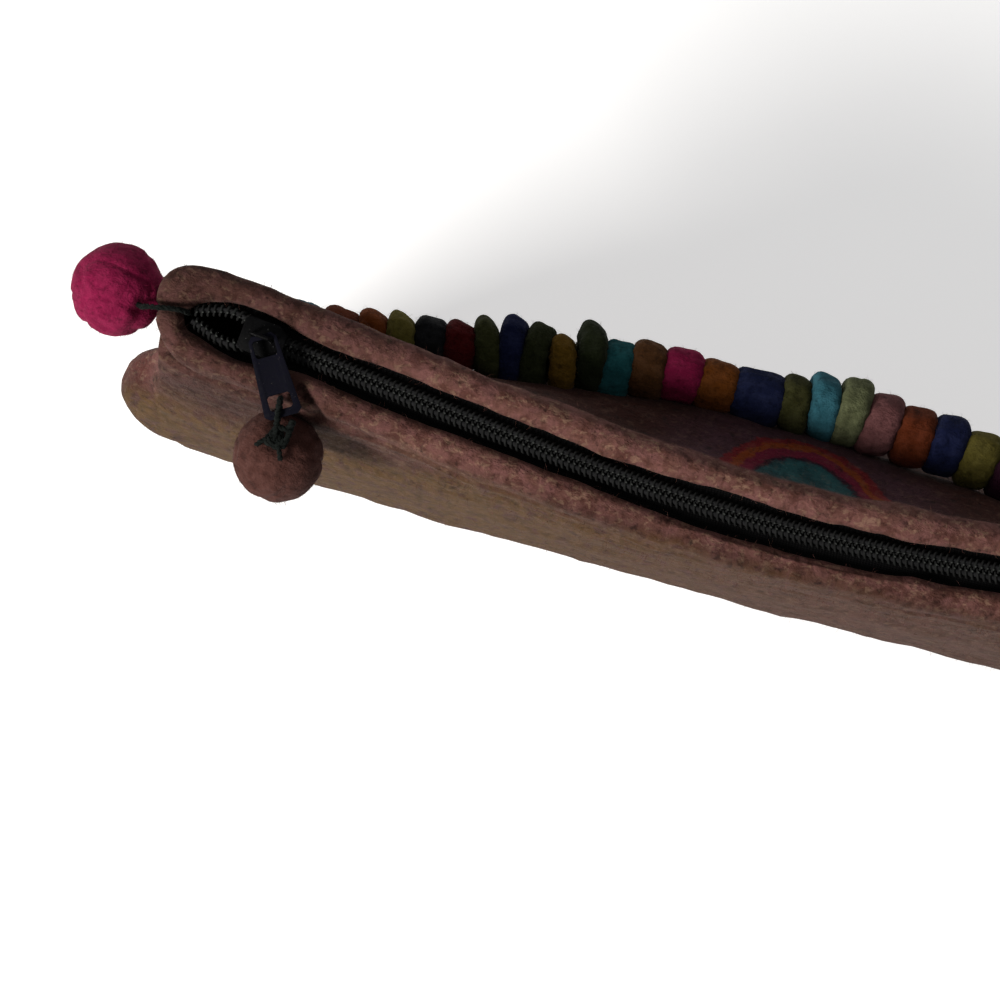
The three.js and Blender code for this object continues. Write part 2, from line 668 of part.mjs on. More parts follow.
// The thread's way out of the zip's end and over the lips, on one side
function threadAnchor(side) {
  const start = side * (zipHalfLength + threadRadius + gap);
  const crest = lipTop + threadRadius + gap;
  const line = zipLine(start);
  return [
    new THREE.Vector3(start, line, coilTop),
    new THREE.Vector3(start + side * threadRadius, line, crest - threadRadius),
    new THREE.Vector3(side * (slotHalfLength + 2 * threadRadius), line, crest),
    new THREE.Vector3(side * (lipHalfLength + threadRadius), line, crest),
  ];
}

function makeHandle() {
  const stops = strandStops();
  const left = threadAnchor(-1);
  const right = threadAnchor(1).reverse();
  const route = [...left];
  const last = stops.length - 1;
  stops.forEach(({ name, shade, thick, wide, centre }, i) => {
    const isEndBall = i === 0 || i === last;
    const axis = new THREE.Vector3(0, 0, i === 0 ? -1 : 1);
    if (!isEndBall) axis.copy(stops[i + 1].centre).sub(stops[i - 1].centre).normalize();
    const face = thick / 2;
    const clear = face + threadRadius + gap;
    route.push(centre.clone().addScaledVector(axis, i === 0 ? -clear : -face));
    route.push(centre.clone().addScaledVector(axis, i === last ? clear : face));
    const shape = thick > roundBead * wide ? shapes.bead : shapes.disc;
    const geometry = isEndBall ? makeBall() : makeBead(thick, wide, shape);
    placeBead(name, geometry, colour(shades[shade]), centre, axis);
  });
  route.push(...right);
  addMesh('handle_thread', rod(route, threadRadius, 6), colour(0x23332f));
}

makeHandle();

// The origin lies under the middle of the whole model, on the surface that it stands on
group.updateMatrixWorld(true);
const box = new THREE.Box3().setFromObject(group, true);
group.position.set(-(box.min.x + box.max.x) / 2, -(box.min.y + box.max.y) / 2, -box.min.z);
group.updateMatrixWorld(true);

export default group;
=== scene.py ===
# A felted wool handbag seen from above, with its zip pull and its handle of felt beads
import math
import bpy
import numpy as np
from mathutils import Matrix, Vector, noise


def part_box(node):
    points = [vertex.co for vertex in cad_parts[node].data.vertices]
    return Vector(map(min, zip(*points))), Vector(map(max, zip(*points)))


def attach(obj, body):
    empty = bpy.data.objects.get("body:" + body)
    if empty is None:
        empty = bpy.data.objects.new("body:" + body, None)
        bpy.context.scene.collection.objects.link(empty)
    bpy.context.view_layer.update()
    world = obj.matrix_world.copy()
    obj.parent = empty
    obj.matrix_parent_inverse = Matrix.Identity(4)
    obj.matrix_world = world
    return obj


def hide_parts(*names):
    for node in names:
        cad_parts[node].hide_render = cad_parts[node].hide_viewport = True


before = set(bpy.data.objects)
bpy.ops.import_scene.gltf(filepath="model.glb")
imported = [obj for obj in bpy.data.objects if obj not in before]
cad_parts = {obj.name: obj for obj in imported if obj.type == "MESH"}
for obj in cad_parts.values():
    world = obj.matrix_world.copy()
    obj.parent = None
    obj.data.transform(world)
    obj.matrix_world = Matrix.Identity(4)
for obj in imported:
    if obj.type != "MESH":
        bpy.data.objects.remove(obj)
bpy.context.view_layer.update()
mm = 0.001
print("frame loaded")


# ---- small helpers

def makeActive(piece):
    for other in list(bpy.context.selected_objects):
        other.select_set(False)
    piece.select_set(True)
    bpy.context.view_layer.objects.active = piece


def applyModifier(piece, kind, **settings):
    makeActive(piece)
    modifier = piece.modifiers.new(kind.title(), kind)
    for key, value in settings.items():
        setattr(modifier, key, value)
    bpy.ops.object.modifier_apply(modifier=modifier.name)


def copyNode(node, name, quads=True):  # a merged copy of a CAD node, to be shaped further
    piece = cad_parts[node].copy()
    piece.data = piece.data.copy()
    piece.name = piece.data.name = name
    for key in list(piece.keys()):
        del piece[key]
    bpy.context.scene.collection.objects.link(piece)
    piece.parent = None
    piece.matrix_world = Matrix.Identity(4)
    piece.data.materials.clear()
    makeActive(piece)
    bpy.ops.mesh.customdata_custom_splitnormals_clear()
    bpy.ops.object.mode_set(mode="EDIT")
    bpy.ops.mesh.select_all(action="SELECT")
    bpy.ops.mesh.remove_doubles(threshold=0.00001)
    if quads:
        bpy.ops.mesh.tris_convert_to_quads(face_threshold=math.radians(70), shape_threshold=math.radians(70))
    bpy.ops.mesh.normals_make_consistent(inside=False)
    bpy.ops.object.mode_set(mode="OBJECT")
    return piece


def getPoints(mesh):
    points = np.empty(len(mesh.vertices) * 3)
    mesh.vertices.foreach_get("co", points)
    return points.reshape(-1, 3)


def getNormals(mesh):
    normals = np.empty(len(mesh.vertices) * 3)
    mesh.vertex_normals.foreach_get("vector", normals)
    return normals.reshape(-1, 3)


def setPoints(mesh, points):
    mesh.vertices.foreach_set("co", points.ravel())
    mesh.update()


def lumpField(points, size, seed):  # soft noise from -1 to 1, its lumps as large as size in mm
    offset = Vector((seed * 7.13, seed * 3.71, seed * 5.37))
    scaled = points / (np.array(size) * mm)
    return np.array([noise.noise(Vector(point) + offset) for point in scaled])


def smoothStep(value, low, high):
    share = np.clip((value - low) / (high - low), 0, 1)
    return share * share * (3 - 2 * share)


def finishPiece(piece, body, slot, material, *nodes):
    piece.data.materials.clear()
    piece.data.materials.append(material)
    makeActive(piece)
    bpy.ops.object.shade_smooth()
    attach(piece, body)
    if nodes:
        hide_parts(*nodes)


# ---- camera, floor and light

camera = {"x": -66.8, "y": -20.6, "z": 197.0, "elevation": 87.0, "roll": 15.0, "distance": 665.0, "width": 243.9}
studio = {"floor": 0.7, "floorGlow": 0.55, "world": 0.17, "key": 23.0, "fill": 0.8}


def makeCamera():
    tilt = math.radians(90 - camera["elevation"])
    roll = math.radians(camera["roll"])
    back = Vector((0, -math.sin(tilt), math.cos(tilt)))
    up = Vector((0, math.cos(tilt), math.sin(tilt)))
    right = Vector((1, 0, 0))
    turnedRight = right * math.cos(roll) + up * math.sin(roll)
    turnedUp = up * math.cos(roll) - right * math.sin(roll)
    target = Vector((camera["x"], camera["y"], camera["z"])) * mm
    place = target + back * camera["distance"] * mm
    matrix = Matrix((turnedRight, turnedUp, back)).transposed().to_4x4()
    matrix.translation = place
    data = bpy.data.cameras.new("camera")
    data.sensor_width = 36
    data.lens = 36 * camera["distance"] / camera["width"]
    eye = bpy.data.objects.new("camera", data)
    eye.matrix_world = matrix
    bpy.context.scene.collection.objects.link(eye)
    bpy.context.scene.camera = eye


def addLamp(name, place, target, size, power, tint):
    data = bpy.data.lights.new(name, "AREA")
    data.size = size
    data.energy = power
    data.color = tint
    lamp = bpy.data.objects.new(name, data)
    lamp.location = place
    lamp.rotation_euler = (Vector(target) - Vector(place)).to_track_quat("-Z", "Y").to_euler()
    bpy.context.scene.collection.objects.link(lamp)


makeCamera()
addLamp("keyLight", (-0.86, -0.68, 1.0), (-0.05, 0, 0.18), 0.38, studio["key"], (1, 0.97, 0.93))
addLamp("fillLight", (0.25, 0.35, 1.35), (0, 0, 0.18), 0.9, studio["fill"], (0.95, 0.97, 1))
world = bpy.data.worlds.new("studioWorld")
world.use_nodes = True
world.node_tree.nodes["Background"].inputs["Color"].default_value = (1, 1, 1, 1)
world.node_tree.nodes["Background"].inputs["Strength"].default_value = studio["world"]
bpy.context.scene.world = world
bpy.context.scene.view_settings.view_transform = "Standard"
print("camera and lights set")


# ---- node helpers and shared shader groups

def tone(red, green, blue, gain=1.0):  # a display colour from 0 to 255 as linear light
    out = []
    for value in (red, green, blue):
        share = value / 255
        out.append(gain * (share / 12.92 if share <= 0.04045 else ((share + 0.055) / 1.055) ** 2.4))
    return (*out, 1)


def addNode(tree, kind, inputs=None, **settings):
    item = tree.nodes.new("ShaderNode" + kind)
    for key, value in settings.items():
        setattr(item, key, value)
    for key, value in (inputs or {}).items():
        if isinstance(value, bpy.types.NodeSocket):
            tree.links.new(value, item.inputs[key])
        else:
            item.inputs[key].default_value = value
    return item


def doMath(tree, operation, first, second=0.0, clamp=False):
    return addNode(tree, "Math", {0: first, 1: second}, operation=operation, use_clamp=clamp).outputs[0]


def mixColours(tree, factor, first, second, blend="MIX"):
    item = addNode(tree, "Mix", {0: factor, 6: first, 7: second}, data_type="RGBA", blend_type=blend)
    return item.outputs[2]


def ramp(tree, value, low, high, start=0.0, end=1.0):
    item = addNode(tree, "MapRange", {"Value": value, "From Min": low, "From Max": high, "To Min": start,
                                      "To Max": end}, interpolation_type="SMOOTHSTEP")
    return item.outputs["Result"]


def makeNoise(tree, vector, scale, detail=3.0, roughness=0.55, distortion=0.0):
    return addNode(tree, "TexNoise", {"Vector": vector, "Scale": scale, "Detail": detail,
                                      "Roughness": roughness, "Distortion": distortion})


def stretch(tree, vector, scale, turn=(0, 0, 0), shift=(0, 0, 0)):
    return addNode(tree, "Mapping", {"Vector": vector, "Location": shift, "Rotation": turn,
                                     "Scale": scale}).outputs[0]


def newGroup(name, inputs, outputs):
    group = bpy.data.node_groups.new(name, "ShaderNodeTree")
    for label, kind, value in inputs:
        socket = group.interface.new_socket(name=label, in_out="INPUT", socket_type=kind)
        if value is not None:
            socket.default_value = value
    for label, kind in outputs:
        group.interface.new_socket(name=label, in_out="OUTPUT", socket_type=kind)
    return group, group.nodes.new("NodeGroupInput"), group.nodes.new("NodeGroupOutput")


def makeFibreGroup():  # matted wool: clumps, lying fibres and a height for bump
    group, given, result = newGroup(
        "mattedWool",
        [("Vector", "NodeSocketVector", None), ("Clump Scale", "NodeSocketFloat", 160.0),
         ("Fibre Scale", "NodeSocketFloat", 700.0)],
        [("Clump", "NodeSocketFloat"), ("Fibre", "NodeSocketFloat"), ("Height", "NodeSocketFloat")])
    clump = makeNoise(group, given.outputs["Vector"], given.outputs["Clump Scale"], 5, 0.68)
    warp = makeNoise(group, given.outputs["Vector"], 320, 2, 0.5)
    bent = addNode(group, "VectorMath", {0: warp.outputs["Color"], 1: (0.003, 0.003, 0.003)}, operation="MULTIPLY")
    moved = addNode(group, "VectorMath", {0: given.outputs["Vector"], 1: bent.outputs[0]}, operation="ADD")
    strands = []
    for turn, shift in (((0.2, 0.5, 0.6), 0.0), ((-0.4, 0.3, -0.7), 0.31), ((0.7, -0.5, 1.9), 0.57)):
        lying = stretch(group, moved.outputs[0], (0.22, 1, 1), turn, (shift, shift, shift))
        strands.append(makeNoise(group, lying, given.outputs["Fibre Scale"], 3, 0.6).outputs[0])
    fibre = doMath(group, "MAXIMUM", doMath(group, "MAXIMUM", strands[0], strands[1]), strands[2])
    fibre = ramp(group, fibre, 0.45, 0.78)
    height = doMath(group, "ADD", clump.outputs[0], doMath(group, "MULTIPLY", fibre, 0.22))
    group.links.new(clump.outputs[0], result.inputs["Clump"])
    group.links.new(fibre, result.inputs["Fibre"])
    group.links.new(height, result.inputs["Height"])
    return group


def makeSpotGroup():  # soft patches with ragged edges, for mottled wool
    group, given, result = newGroup(
        "woolPatches",
        [("Vector", "NodeSocketVector", None), ("Scale", "NodeSocketFloat", 90.0),
         ("Amount", "NodeSocketFloat", 0.5), ("Softness", "NodeSocketFloat", 0.12)],
        [("Patch", "NodeSocketFloat")])
    field = makeNoise(group, given.outputs["Vector"], given.outputs["Scale"], 6, 0.62, 0.5)
    edge = doMath(group, "SUBTRACT", 1.0, given.outputs["Amount"])
    low = doMath(group, "SUBTRACT", edge, given.outputs["Softness"])
    high = doMath(group, "ADD", edge, given.outputs["Softness"])
    group.links.new(ramp(group, field.outputs[0], low, high), result.inputs["Patch"])
    return group


def makeWearGroup():  # where a hard piece is rubbed bare: its edges, broken up by noise
    group, given, result = newGroup(
        "edgeRub",
        [("Vector", "NodeSocketVector", None), ("Edge", "NodeSocketFloat", 0.0), ("Amount", "NodeSocketFloat", 0.5),
         ("Scale", "NodeSocketFloat", 900.0)],
        [("Bare", "NodeSocketFloat"), ("Scuff", "NodeSocketFloat")])
    chips = makeNoise(group, given.outputs["Vector"], given.outputs["Scale"], 5, 0.65, 0.3)
    edge = doMath(group, "MULTIPLY", given.outputs["Edge"], given.outputs["Amount"])
    total = doMath(group, "ADD", edge, doMath(group, "MULTIPLY", chips.outputs[0], 0.6))
    group.links.new(ramp(group, total, 0.62, 0.72), result.inputs["Bare"])
    group.links.new(ramp(group, chips.outputs[0], 0.35, 0.7), result.inputs["Scuff"])
    return group


fibreGroup = makeFibreGroup()
spotGroup = makeSpotGroup()
wearGroup = makeWearGroup()


def shade(tree, colour, factor, gain):  # the same colour, lighter or darker where the factor is 1
    scaled = mixColours(tree, 1.0, colour, (gain, gain, gain, 1), "MULTIPLY")
    return mixColours(tree, factor, colour, scaled)


def useGroup(tree, group, **inputs):
    item = tree.nodes.new("ShaderNodeGroup")
    item.node_tree = group
    for key, value in inputs.items():
        socket = item.inputs[key.replace("_", " ")]
        if isinstance(value, bpy.types.NodeSocket):
            tree.links.new(value, socket)
        else:
            socket.default_value = value
    return item


def newMaterial(name, roughness, metallic=0.0, specular=0.3, sheen=0.0, sheenTint=(1, 1, 1, 1), coat=0.0):
    material = bpy.data.materials.new(name)
    material.use_nodes = True
    tree = material.node_tree
    shader = tree.nodes["Principled BSDF"]
    shader.inputs["Roughness"].default_value = roughness
    shader.inputs["Metallic"].default_value = metallic
    shader.inputs["Specular IOR Level"].default_value = specular
    shader.inputs["Sheen Weight"].default_value = sheen
    shader.inputs["Sheen Roughness"].default_value = 0.5
    shader.inputs["Sheen Tint"].default_value = sheenTint
    shader.inputs["Coat Weight"].default_value = coat
    place = addNode(tree, "TexCoord").outputs["Object"]
    return material, tree, shader, place


def addBump(tree, shader, height, strength, distance):
    bump = addNode(tree, "Bump", {"Height": height, "Strength": strength, "Distance": distance})
    tree.links.new(bump.outputs[0], shader.inputs["Normal"])


# ---- felt of the bag

feltColours = {
    "mauve": tone(96, 64, 57), "rosy": tone(108, 72, 68), "brown": tone(62, 34, 27), "cream": tone(132, 104, 86),
    # next line: the purple and the red brown of the front's ground are darkened as painted shade from the lip and the
    # beads
    "tan": tone(114, 84, 46), "khaki": tone(84, 64, 32), "purple": tone(60, 36, 44), "redBrown": tone(46, 19, 14),
    # painted shade: the first colour on the next line darkens the hollow of the tucked ends
    "tuckShadeRed": tone(80, 40, 35), "frontMauve": tone(96, 62, 56),
    "deepPurple": tone(34, 12, 28), "teal": tone(20, 60, 64), "tealLight": tone(34, 80, 82),
    "crimson": tone(92, 12, 40), "orange": tone(112, 48, 12), "red": tone(98, 18, 24),
}
roundel = {"x": 4.7, "z": 195.0, "disc": 12.8, "gap": 13.9, "crimson": 17.0, "orange": 19.4, "red": 21.6}


def makeBagFelt():
    material, tree, shader, place = newMaterial("bagFelt", 0.95, specular=0.08, sheen=0.06,
                                                sheenTint=(0.75, 0.55, 0.48, 1))
    tall = stretch(tree, place, (1, 1, 0.36))   # mottles drawn out up and down the walls
    wool = useGroup(tree, fibreGroup, Vector=stretch(tree, place, (1, 1, 0.5)), Clump_Scale=380.0,
                    Fibre_Scale=1150.0)
    split = addNode(tree, "SeparateXYZ", {0: place})
    x, y, z = split.outputs[0], split.outputs[1], split.outputs[2]
    rosy = useGroup(tree, spotGroup, Vector=tall, Scale=230.0, Amount=0.5, Softness=0.11)
    brown = useGroup(tree, spotGroup, Vector=stretch(tree, tall, (0.8, 1, 1), shift=(0.4, 0.2, 0)), Scale=330.0,
                     Amount=0.46, Softness=0.09)
    streaks = useGroup(tree, spotGroup, Vector=stretch(tree, tall, (1, 1, 0.8), shift=(0, 0.7, 0)), Scale=260.0,
                       Amount=0.56, Softness=0.10)
    khaki = useGroup(tree, spotGroup, Vector=stretch(tree, tall, (1, 1, 0.7), shift=(0.9, 0.1, 0)), Scale=360.0,
                     Amount=0.45, Softness=0.09)
    colour = mixColours(tree, rosy.outputs[0], feltColours["mauve"], feltColours["rosy"])
    colour = mixColours(tree, doMath(tree, "MULTIPLY", brown.outputs[0], 0.62), colour, feltColours["brown"])
    # tan streaks low on the back wall
    tanPart = addNode(tree, "Attribute", attribute_name="tan", attribute_type="GEOMETRY").outputs["Fac"]
    colour = mixColours(tree, doMath(tree, "MULTIPLY", tanPart, streaks.outputs[0]), colour, feltColours["tan"])
    khakiWhere = doMath(tree, "MULTIPLY", doMath(tree, "MULTIPLY", tanPart, khaki.outputs[0]), 0.6)
    colour = mixColours(tree, khakiWhere, colour, feltColours["khaki"])
    # purple ground and rings on the front; the ground is darkened as painted shade from the lip and the beads
    front = ramp(tree, y, -0.003, 0.004)
    lower = ramp(tree, z, 0.1955, 0.192)
    ground = doMath(tree, "MULTIPLY", front, lower)
    wobble = makeNoise(tree, place, 260, 4, 0.7).outputs[0]
    flat = stretch(tree, place, (1, 0, 1), shift=(-roundel["x"] * mm, 0, -roundel["z"] * mm))
    distance = addNode(tree, "VectorMath", {0: flat}, operation="LENGTH").outputs["Value"]
    distance = doMath(tree, "ADD", distance, doMath(tree, "MULTIPLY", wobble, 0.0044))
    distance = doMath(tree, "SUBTRACT", distance, 0.0022)
    nearRings = ramp(tree, distance, 0.045, 0.026)
    # painted shade: the front's ground is dark reddish brown high up, under the lip and the beads, and lighter mauve
    # lower down
    frontGroundShade = mixColours(tree, ramp(tree, z, 0.128, 0.085), feltColours["redBrown"], feltColours["frontMauve"])
    motif = mixColours(tree, nearRings, frontGroundShade, feltColours["purple"])
    motif = mixColours(tree, doMath(tree, "MULTIPLY", brown.outputs[0], 0.35), motif, feltColours["redBrown"])
    edge = 0.5 * mm
    for radius, name in (("red", "red"), ("orange", "orange"), ("crimson", "crimson"), ("gap", "deepPurple"),
                         ("disc", "teal")):
        limit = roundel[radius] * mm
        inside = ramp(tree, distance, limit + edge, limit - edge)
        motif = mixColours(tree, doMath(tree, "MULTIPLY", inside, 0.95), motif, feltColours[name])
    disc = ramp(tree, distance, (roundel["disc"] + 0.5) * mm, (roundel["disc"] - 1.5) * mm)
    lighter = doMath(tree, "MULTIPLY", disc, doMath(tree, "MULTIPLY", rosy.outputs[0], 0.7))
    motif = mixColours(tree, lighter, motif, feltColours["tealLight"])
    colour = mixColours(tree, ground, colour, motif)
    # painted shade: the tucked ends darkened to reddish brown in their hollow
    tuckShade = doMath(tree, "MULTIPLY", ramp(tree, doMath(tree, "ABSOLUTE", x), 0.160, 0.166), ramp(tree, z, 0.178, 0.170))
    tuckShade = doMath(tree, "MULTIPLY", tuckShade, ramp(tree, y, -0.017, -0.009))
    colour = mixColours(tree, doMath(tree, "MULTIPLY", tuckShade, 0.85), colour, feltColours["tuckShadeRed"])
    # pale flecks, dark pits and lying fibres
    flecks = useGroup(tree, spotGroup, Vector=stretch(tree, tall, (0.7, 1, 1), shift=(0.2, 0.5, 0)), Scale=620.0,
                      Amount=0.42, Softness=0.06)
    pits = useGroup(tree, spotGroup, Vector=stretch(tree, place, (1, 1, 0.7)), Scale=480.0, Amount=0.4, Softness=0.09)
    free = doMath(tree, "SUBTRACT", 1.0, doMath(tree, "MULTIPLY", ground, 0.8))
    pale = doMath(tree, "MULTIPLY", doMath(tree, "MULTIPLY", flecks.outputs[0], 0.55), free)
    colour = mixColours(tree, pale, colour, feltColours["cream"])
    colour = shade(tree, colour, doMath(tree, "MULTIPLY", pits.outputs[0], 0.6), 0.5)
    colour = shade(tree, colour, doMath(tree, "MULTIPLY", wool.outputs["Fibre"], 0.6), 1.55)
    colour = shade(tree, colour, ramp(tree, wool.outputs["Clump"], 0.46, 0.30), 0.4)
    # darker towards the end with the pull and on the back wall, and painted shade in the tucks
    endPart = doMath(tree, "MULTIPLY", ramp(tree, x, -0.075, -0.135), ramp(tree, z, 0.15, 0.18))
    colour = shade(tree, colour, endPart, 0.5)
    wallPart = addNode(tree, "Attribute", attribute_name="wall", attribute_type="GEOMETRY").outputs["Fac"]
    colour = shade(tree, colour, wallPart, 0.43)
    colour = shade(tree, colour, tuckShade, 0.9)
    # painted shade: the inner faces of the zip's slot and the pressed creases darkened almost to black
    inner = addNode(tree, "Attribute", attribute_name="inner", attribute_type="GEOMETRY").outputs["Fac"]
    colour = shade(tree, colour, inner, 0.05)
    tree.links.new(colour, shader.inputs["Base Color"])
    addBump(tree, shader, wool.outputs["Height"], 0.75, 0.0011)
    return material


def makeWoolMaterial(name, colour, dark=0.42, light=1.4, clumpScale=420.0, fibreScale=1300.0, bump=0.0008):
    material, tree, shader, place = newMaterial(name, 0.93, specular=0.08, sheen=0.06,
                                                sheenTint=tuple(min(1, 3 * v + 0.2) for v in colour[:3]) + (1,))
    wool = useGroup(tree, fibreGroup, Vector=place, Clump_Scale=clumpScale, Fibre_Scale=fibreScale)
    spots = useGroup(tree, spotGroup, Vector=place, Scale=330.0, Amount=0.48, Softness=0.12)
    darker = tuple(v * dark for v in colour[:3]) + (1,)
    lighter = tuple(min(1, v * light + 0.006) for v in colour[:3]) + (1,)
    mixed = mixColours(tree, doMath(tree, "MULTIPLY", spots.outputs[0], 0.7), colour, lighter)
    mixed = mixColours(tree, ramp(tree, wool.outputs["Clump"], 0.50, 0.30, 0, 0.75), mixed, darker)
    mixed = shade(tree, mixed, doMath(tree, "MULTIPLY", wool.outputs["Fibre"], 0.5), 1.5)
    tree.links.new(mixed, shader.inputs["Base Color"])
    addBump(tree, shader, wool.outputs["Height"], 0.8, bump)
    return material


def makeTapeMaterial():
    material, tree, shader, place = newMaterial("zipTapeWeave", 0.9, specular=0.08)
    rows = addNode(tree, "TexWave", {"Vector": stretch(tree, place, (1, 1, 1)), "Scale": 420.0, "Distortion": 0.6},
                   bands_direction="X")
    warps = addNode(tree, "TexWave", {"Vector": stretch(tree, place, (1, 1, 1)), "Scale": 620.0, "Distortion": 0.4},
                    bands_direction="Y")
    weave = doMath(tree, "MULTIPLY", rows.outputs["Fac"], warps.outputs["Fac"])
    colour = mixColours(tree, weave, tone(6, 6, 7), tone(22, 21, 21))
    tree.links.new(colour, shader.inputs["Base Color"])
    addBump(tree, shader, weave, 0.6, 0.0003)
    return material


def makeCoilMaterial(name, dark, light, roughness):
    material, tree, shader, place = newMaterial(name, roughness, specular=0.12)
    dust = useGroup(tree, spotGroup, Vector=place, Scale=500.0, Amount=0.42, Softness=0.15)
    split = addNode(tree, "SeparateXYZ", {0: place})
    # painted shade: each strand darker low down, towards the tape, and at full colour on its crown
    crown = ramp(tree, split.outputs[2], 0.1955, 0.1972)
    colour = mixColours(tree, crown, tuple(v * 0.4 for v in dark[:3]) + (1,), dark)
    colour = mixColours(tree, doMath(tree, "MULTIPLY", dust.outputs[0], 0.7), colour, light)
    tree.links.new(colour, shader.inputs["Base Color"])
    grain = makeNoise(tree, place, 1800, 3, 0.6)
    rough = ramp(tree, grain.outputs[0], 0.3, 0.7, roughness - 0.1, roughness + 0.2)
    tree.links.new(rough, shader.inputs["Roughness"])
    addBump(tree, shader, grain.outputs[0], 0.2, 0.0001)
    return material


def makeMetalMaterial(name, paint, paintLight, bare, amount, roughness):
    material, tree, shader, place = newMaterial(name, roughness, specular=0.08)
    edge = addNode(tree, "Attribute", attribute_name="edge", attribute_type="GEOMETRY").outputs["Fac"]
    wear = useGroup(tree, wearGroup, Vector=place, Edge=edge, Amount=amount)
    specks = makeNoise(tree, place, 2600, 2, 0.6).outputs[0]
    colour = mixColours(tree, doMath(tree, "MULTIPLY", wear.outputs["Scuff"], 0.5), paint, paintLight)
    colour = mixColours(tree, ramp(tree, specks, 0.70, 0.78, 0, 0.6), colour, bare)
    colour = mixColours(tree, wear.outputs["Bare"], colour, bare)
    tree.links.new(colour, shader.inputs["Base Color"])
    tree.links.new(doMath(tree, "MULTIPLY", wear.outputs["Bare"], 0.95), shader.inputs["Metallic"])
    tree.links.new(ramp(tree, wear.outputs["Scuff"], 0, 1, roughness, roughness + 0.25), shader.inputs["Roughness"])
    addBump(tree, shader, wear.outputs["Scuff"], 0.25, 0.0001)
    return material


bagFelt = makeBagFelt()
threadWool = makeWoolMaterial("threadWool", tone(12, 16, 14), 0.35, 1.7, 700.0, 2000.0, 0.0004)
tapeWeave = makeTapeMaterial()
coilNylon = makeCoilMaterial("coilNylon", tone(25, 25, 25), tone(36, 38, 37), 0.85)
# the stitches' light grey is partly a painted highlight on the coil's crown
stitchThreadHighlight = makeCoilMaterial("stitchThreadHighlight", tone(52, 54, 52), tone(74, 76, 74), 0.8)
coreCord = makeCoilMaterial("coreCord", tone(30, 30, 31), tone(42, 42, 43), 0.9)
sliderMetal = makeMetalMaterial("sliderMetal", tone(3, 3, 4), tone(8, 8, 9), tone(150, 150, 148), 0.42, 0.5)
tabMetal = makeMetalMaterial("tabMetal", tone(8, 8, 18), tone(14, 13, 26), tone(150, 140, 134), 0.26, 0.6)
print("materials made")

makeActive(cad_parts["felt_bag"])
bpy.ops.object.select_all(action="DESELECT")
bpy.ops.mesh.primitive_plane_add(size=4, location=(0, 0, 0))
floor = bpy.context.object
floor.name = "studioFloor"
floorMaterial, floorTree, floorShader, floorPlace = newMaterial("floorPaper", 0.9, specular=0.1)
paper = makeNoise(floorTree, floorPlace, 30, 4, 0.6)
pale = studio["floor"]
floorTree.links.new(mixColours(floorTree, paper.outputs[0], (pale, pale, pale, 1), (pale * 0.97,) * 3 + (1,)),
                    floorShader.inputs["Base Color"])
floorShader.inputs["Emission Color"].default_value = (1, 1, 1, 1)   # a lit sheet, so that shadows stay soft
floorShader.inputs["Emission Strength"].default_value = studio["floorGlow"]
floor.data.materials.append(floorMaterial)


# ---- the zip's line, which the lips follow

zipForm = {"halfLength": 151.0, "pitch": 1.48, "wire": 0.34, "coilBase": 195.0, "bow": 13.4, "ease": 0.85,
           "end": 0.5, "reach": 165.0, "eyeStart": -153.0, "eyeEnd": -130.0, "eyeSpread": 2.7, "stitchPitch": 1.48,
           "core": 0.72, "coreOut": 1.25, "coreUp": 1.2}


def zipLine(x):  # y of the zip line in mm, before the frame's shift
    swell = 0.5 + 0.5 * math.cos(math.pi * min(abs(x), zipForm["reach"]) / zipForm["reach"])
    return zipForm["end"] - zipForm["bow"] * swell ** zipForm["ease"]


def beadCentre(node):
    low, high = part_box(node)
    return (low + high) / 2


shiftY = beadCentre("end_ball_left").y / mm - 2.225   # the end balls hang 2.225 mm in front of the zip line's end


# ---- the bag's felt shell

bagForm = {
    "cuts": 3,            # extra cuts along the bag's length near its top
    "topFrom": 150,       # mm, where the closer cuts begin
    "lumps": [            # sizes and depth in mm
        {"size": (46, 30, 30), "depth": 1.0},
        {"size": (17, 13, 14), "depth": 0.75},
        {"size": (7, 6, 6), "depth": 0.42},
        {"size": (3.4, 3.0, 3.0), "depth": 0.16},
    ],
    "folds": {"size": (60, 14, 9), "depth": 0.9},   # long soft folds on the back wall
    "crease": {"start": (-121.5, -6.0), "end": (-114.5, -12.4), "depth": 1.2, "width": 0.9},
    "creaseShade": 0.75,
    "slope": {"top": 190, "foot": 128, "ease": 0.85},   # the back wall runs out evenly between these heights
    "belly": {"height": 122, "spread": 29, "out": 7.8, "reach": 128},   # the front is fuller under the beads
    "corner": {"place": (-157.5, 11.5), "spread": 7.5, "out": 3.1},     # the lip's corner beside the end ball
    "frontLip": {"x": 5, "spread": 42, "back": 1.2},
    "tan": {"from": 0.56, "to": 0.86, "fade": (-90, 40), "least": 0.2, "broken": 0.16},  # shares of the way out
    "threadFold": {"start": (-152.5, 4.0), "end": (-163.0, 2.7), "depth": 1.2, "width": 1.3},
}


def pressLine(points, normals, line):  # a narrow valley along a line seen from above
    start = np.array(line["start"]) * mm
    along = np.array(line["end"]) * mm - start
    length = np.linalg.norm(along)
    along = along / length
    offset = points[:, :2] - start
    travelled = offset @ along
    aside = np.abs(offset[:, 0] * along[1] - offset[:, 1] * along[0])
    ends = smoothStep(travelled, -0.002, 0.0015) * smoothStep(travelled, length + 0.002, length - 0.0015)
    high = smoothStep(points[:, 2], 0.185, 0.195)
    valley = np.exp(-(aside / (line["width"] * mm)) ** 2) * ends * high
    return points - normals * (valley * line["depth"] * mm)[:, None], valley


def reachAt(points, low, high, side):  # how far a wall reaches between two heights, along the bag
    marks = np.arange(-176, 177, 4.0)
    band = points[(points[:, 2] > low * mm) & (points[:, 2] < high * mm)]
    found = []
    for mark in marks:
        near = band[np.abs(band[:, 0] - mark * mm) < 5 * mm]
        found.append((mark * mm, side * (side * near[:, 1]).max()) if len(near) else None)
    found = np.array([pair for pair in found if pair])
    return lambda x: np.interp(x, found[:, 0], found[:, 1])


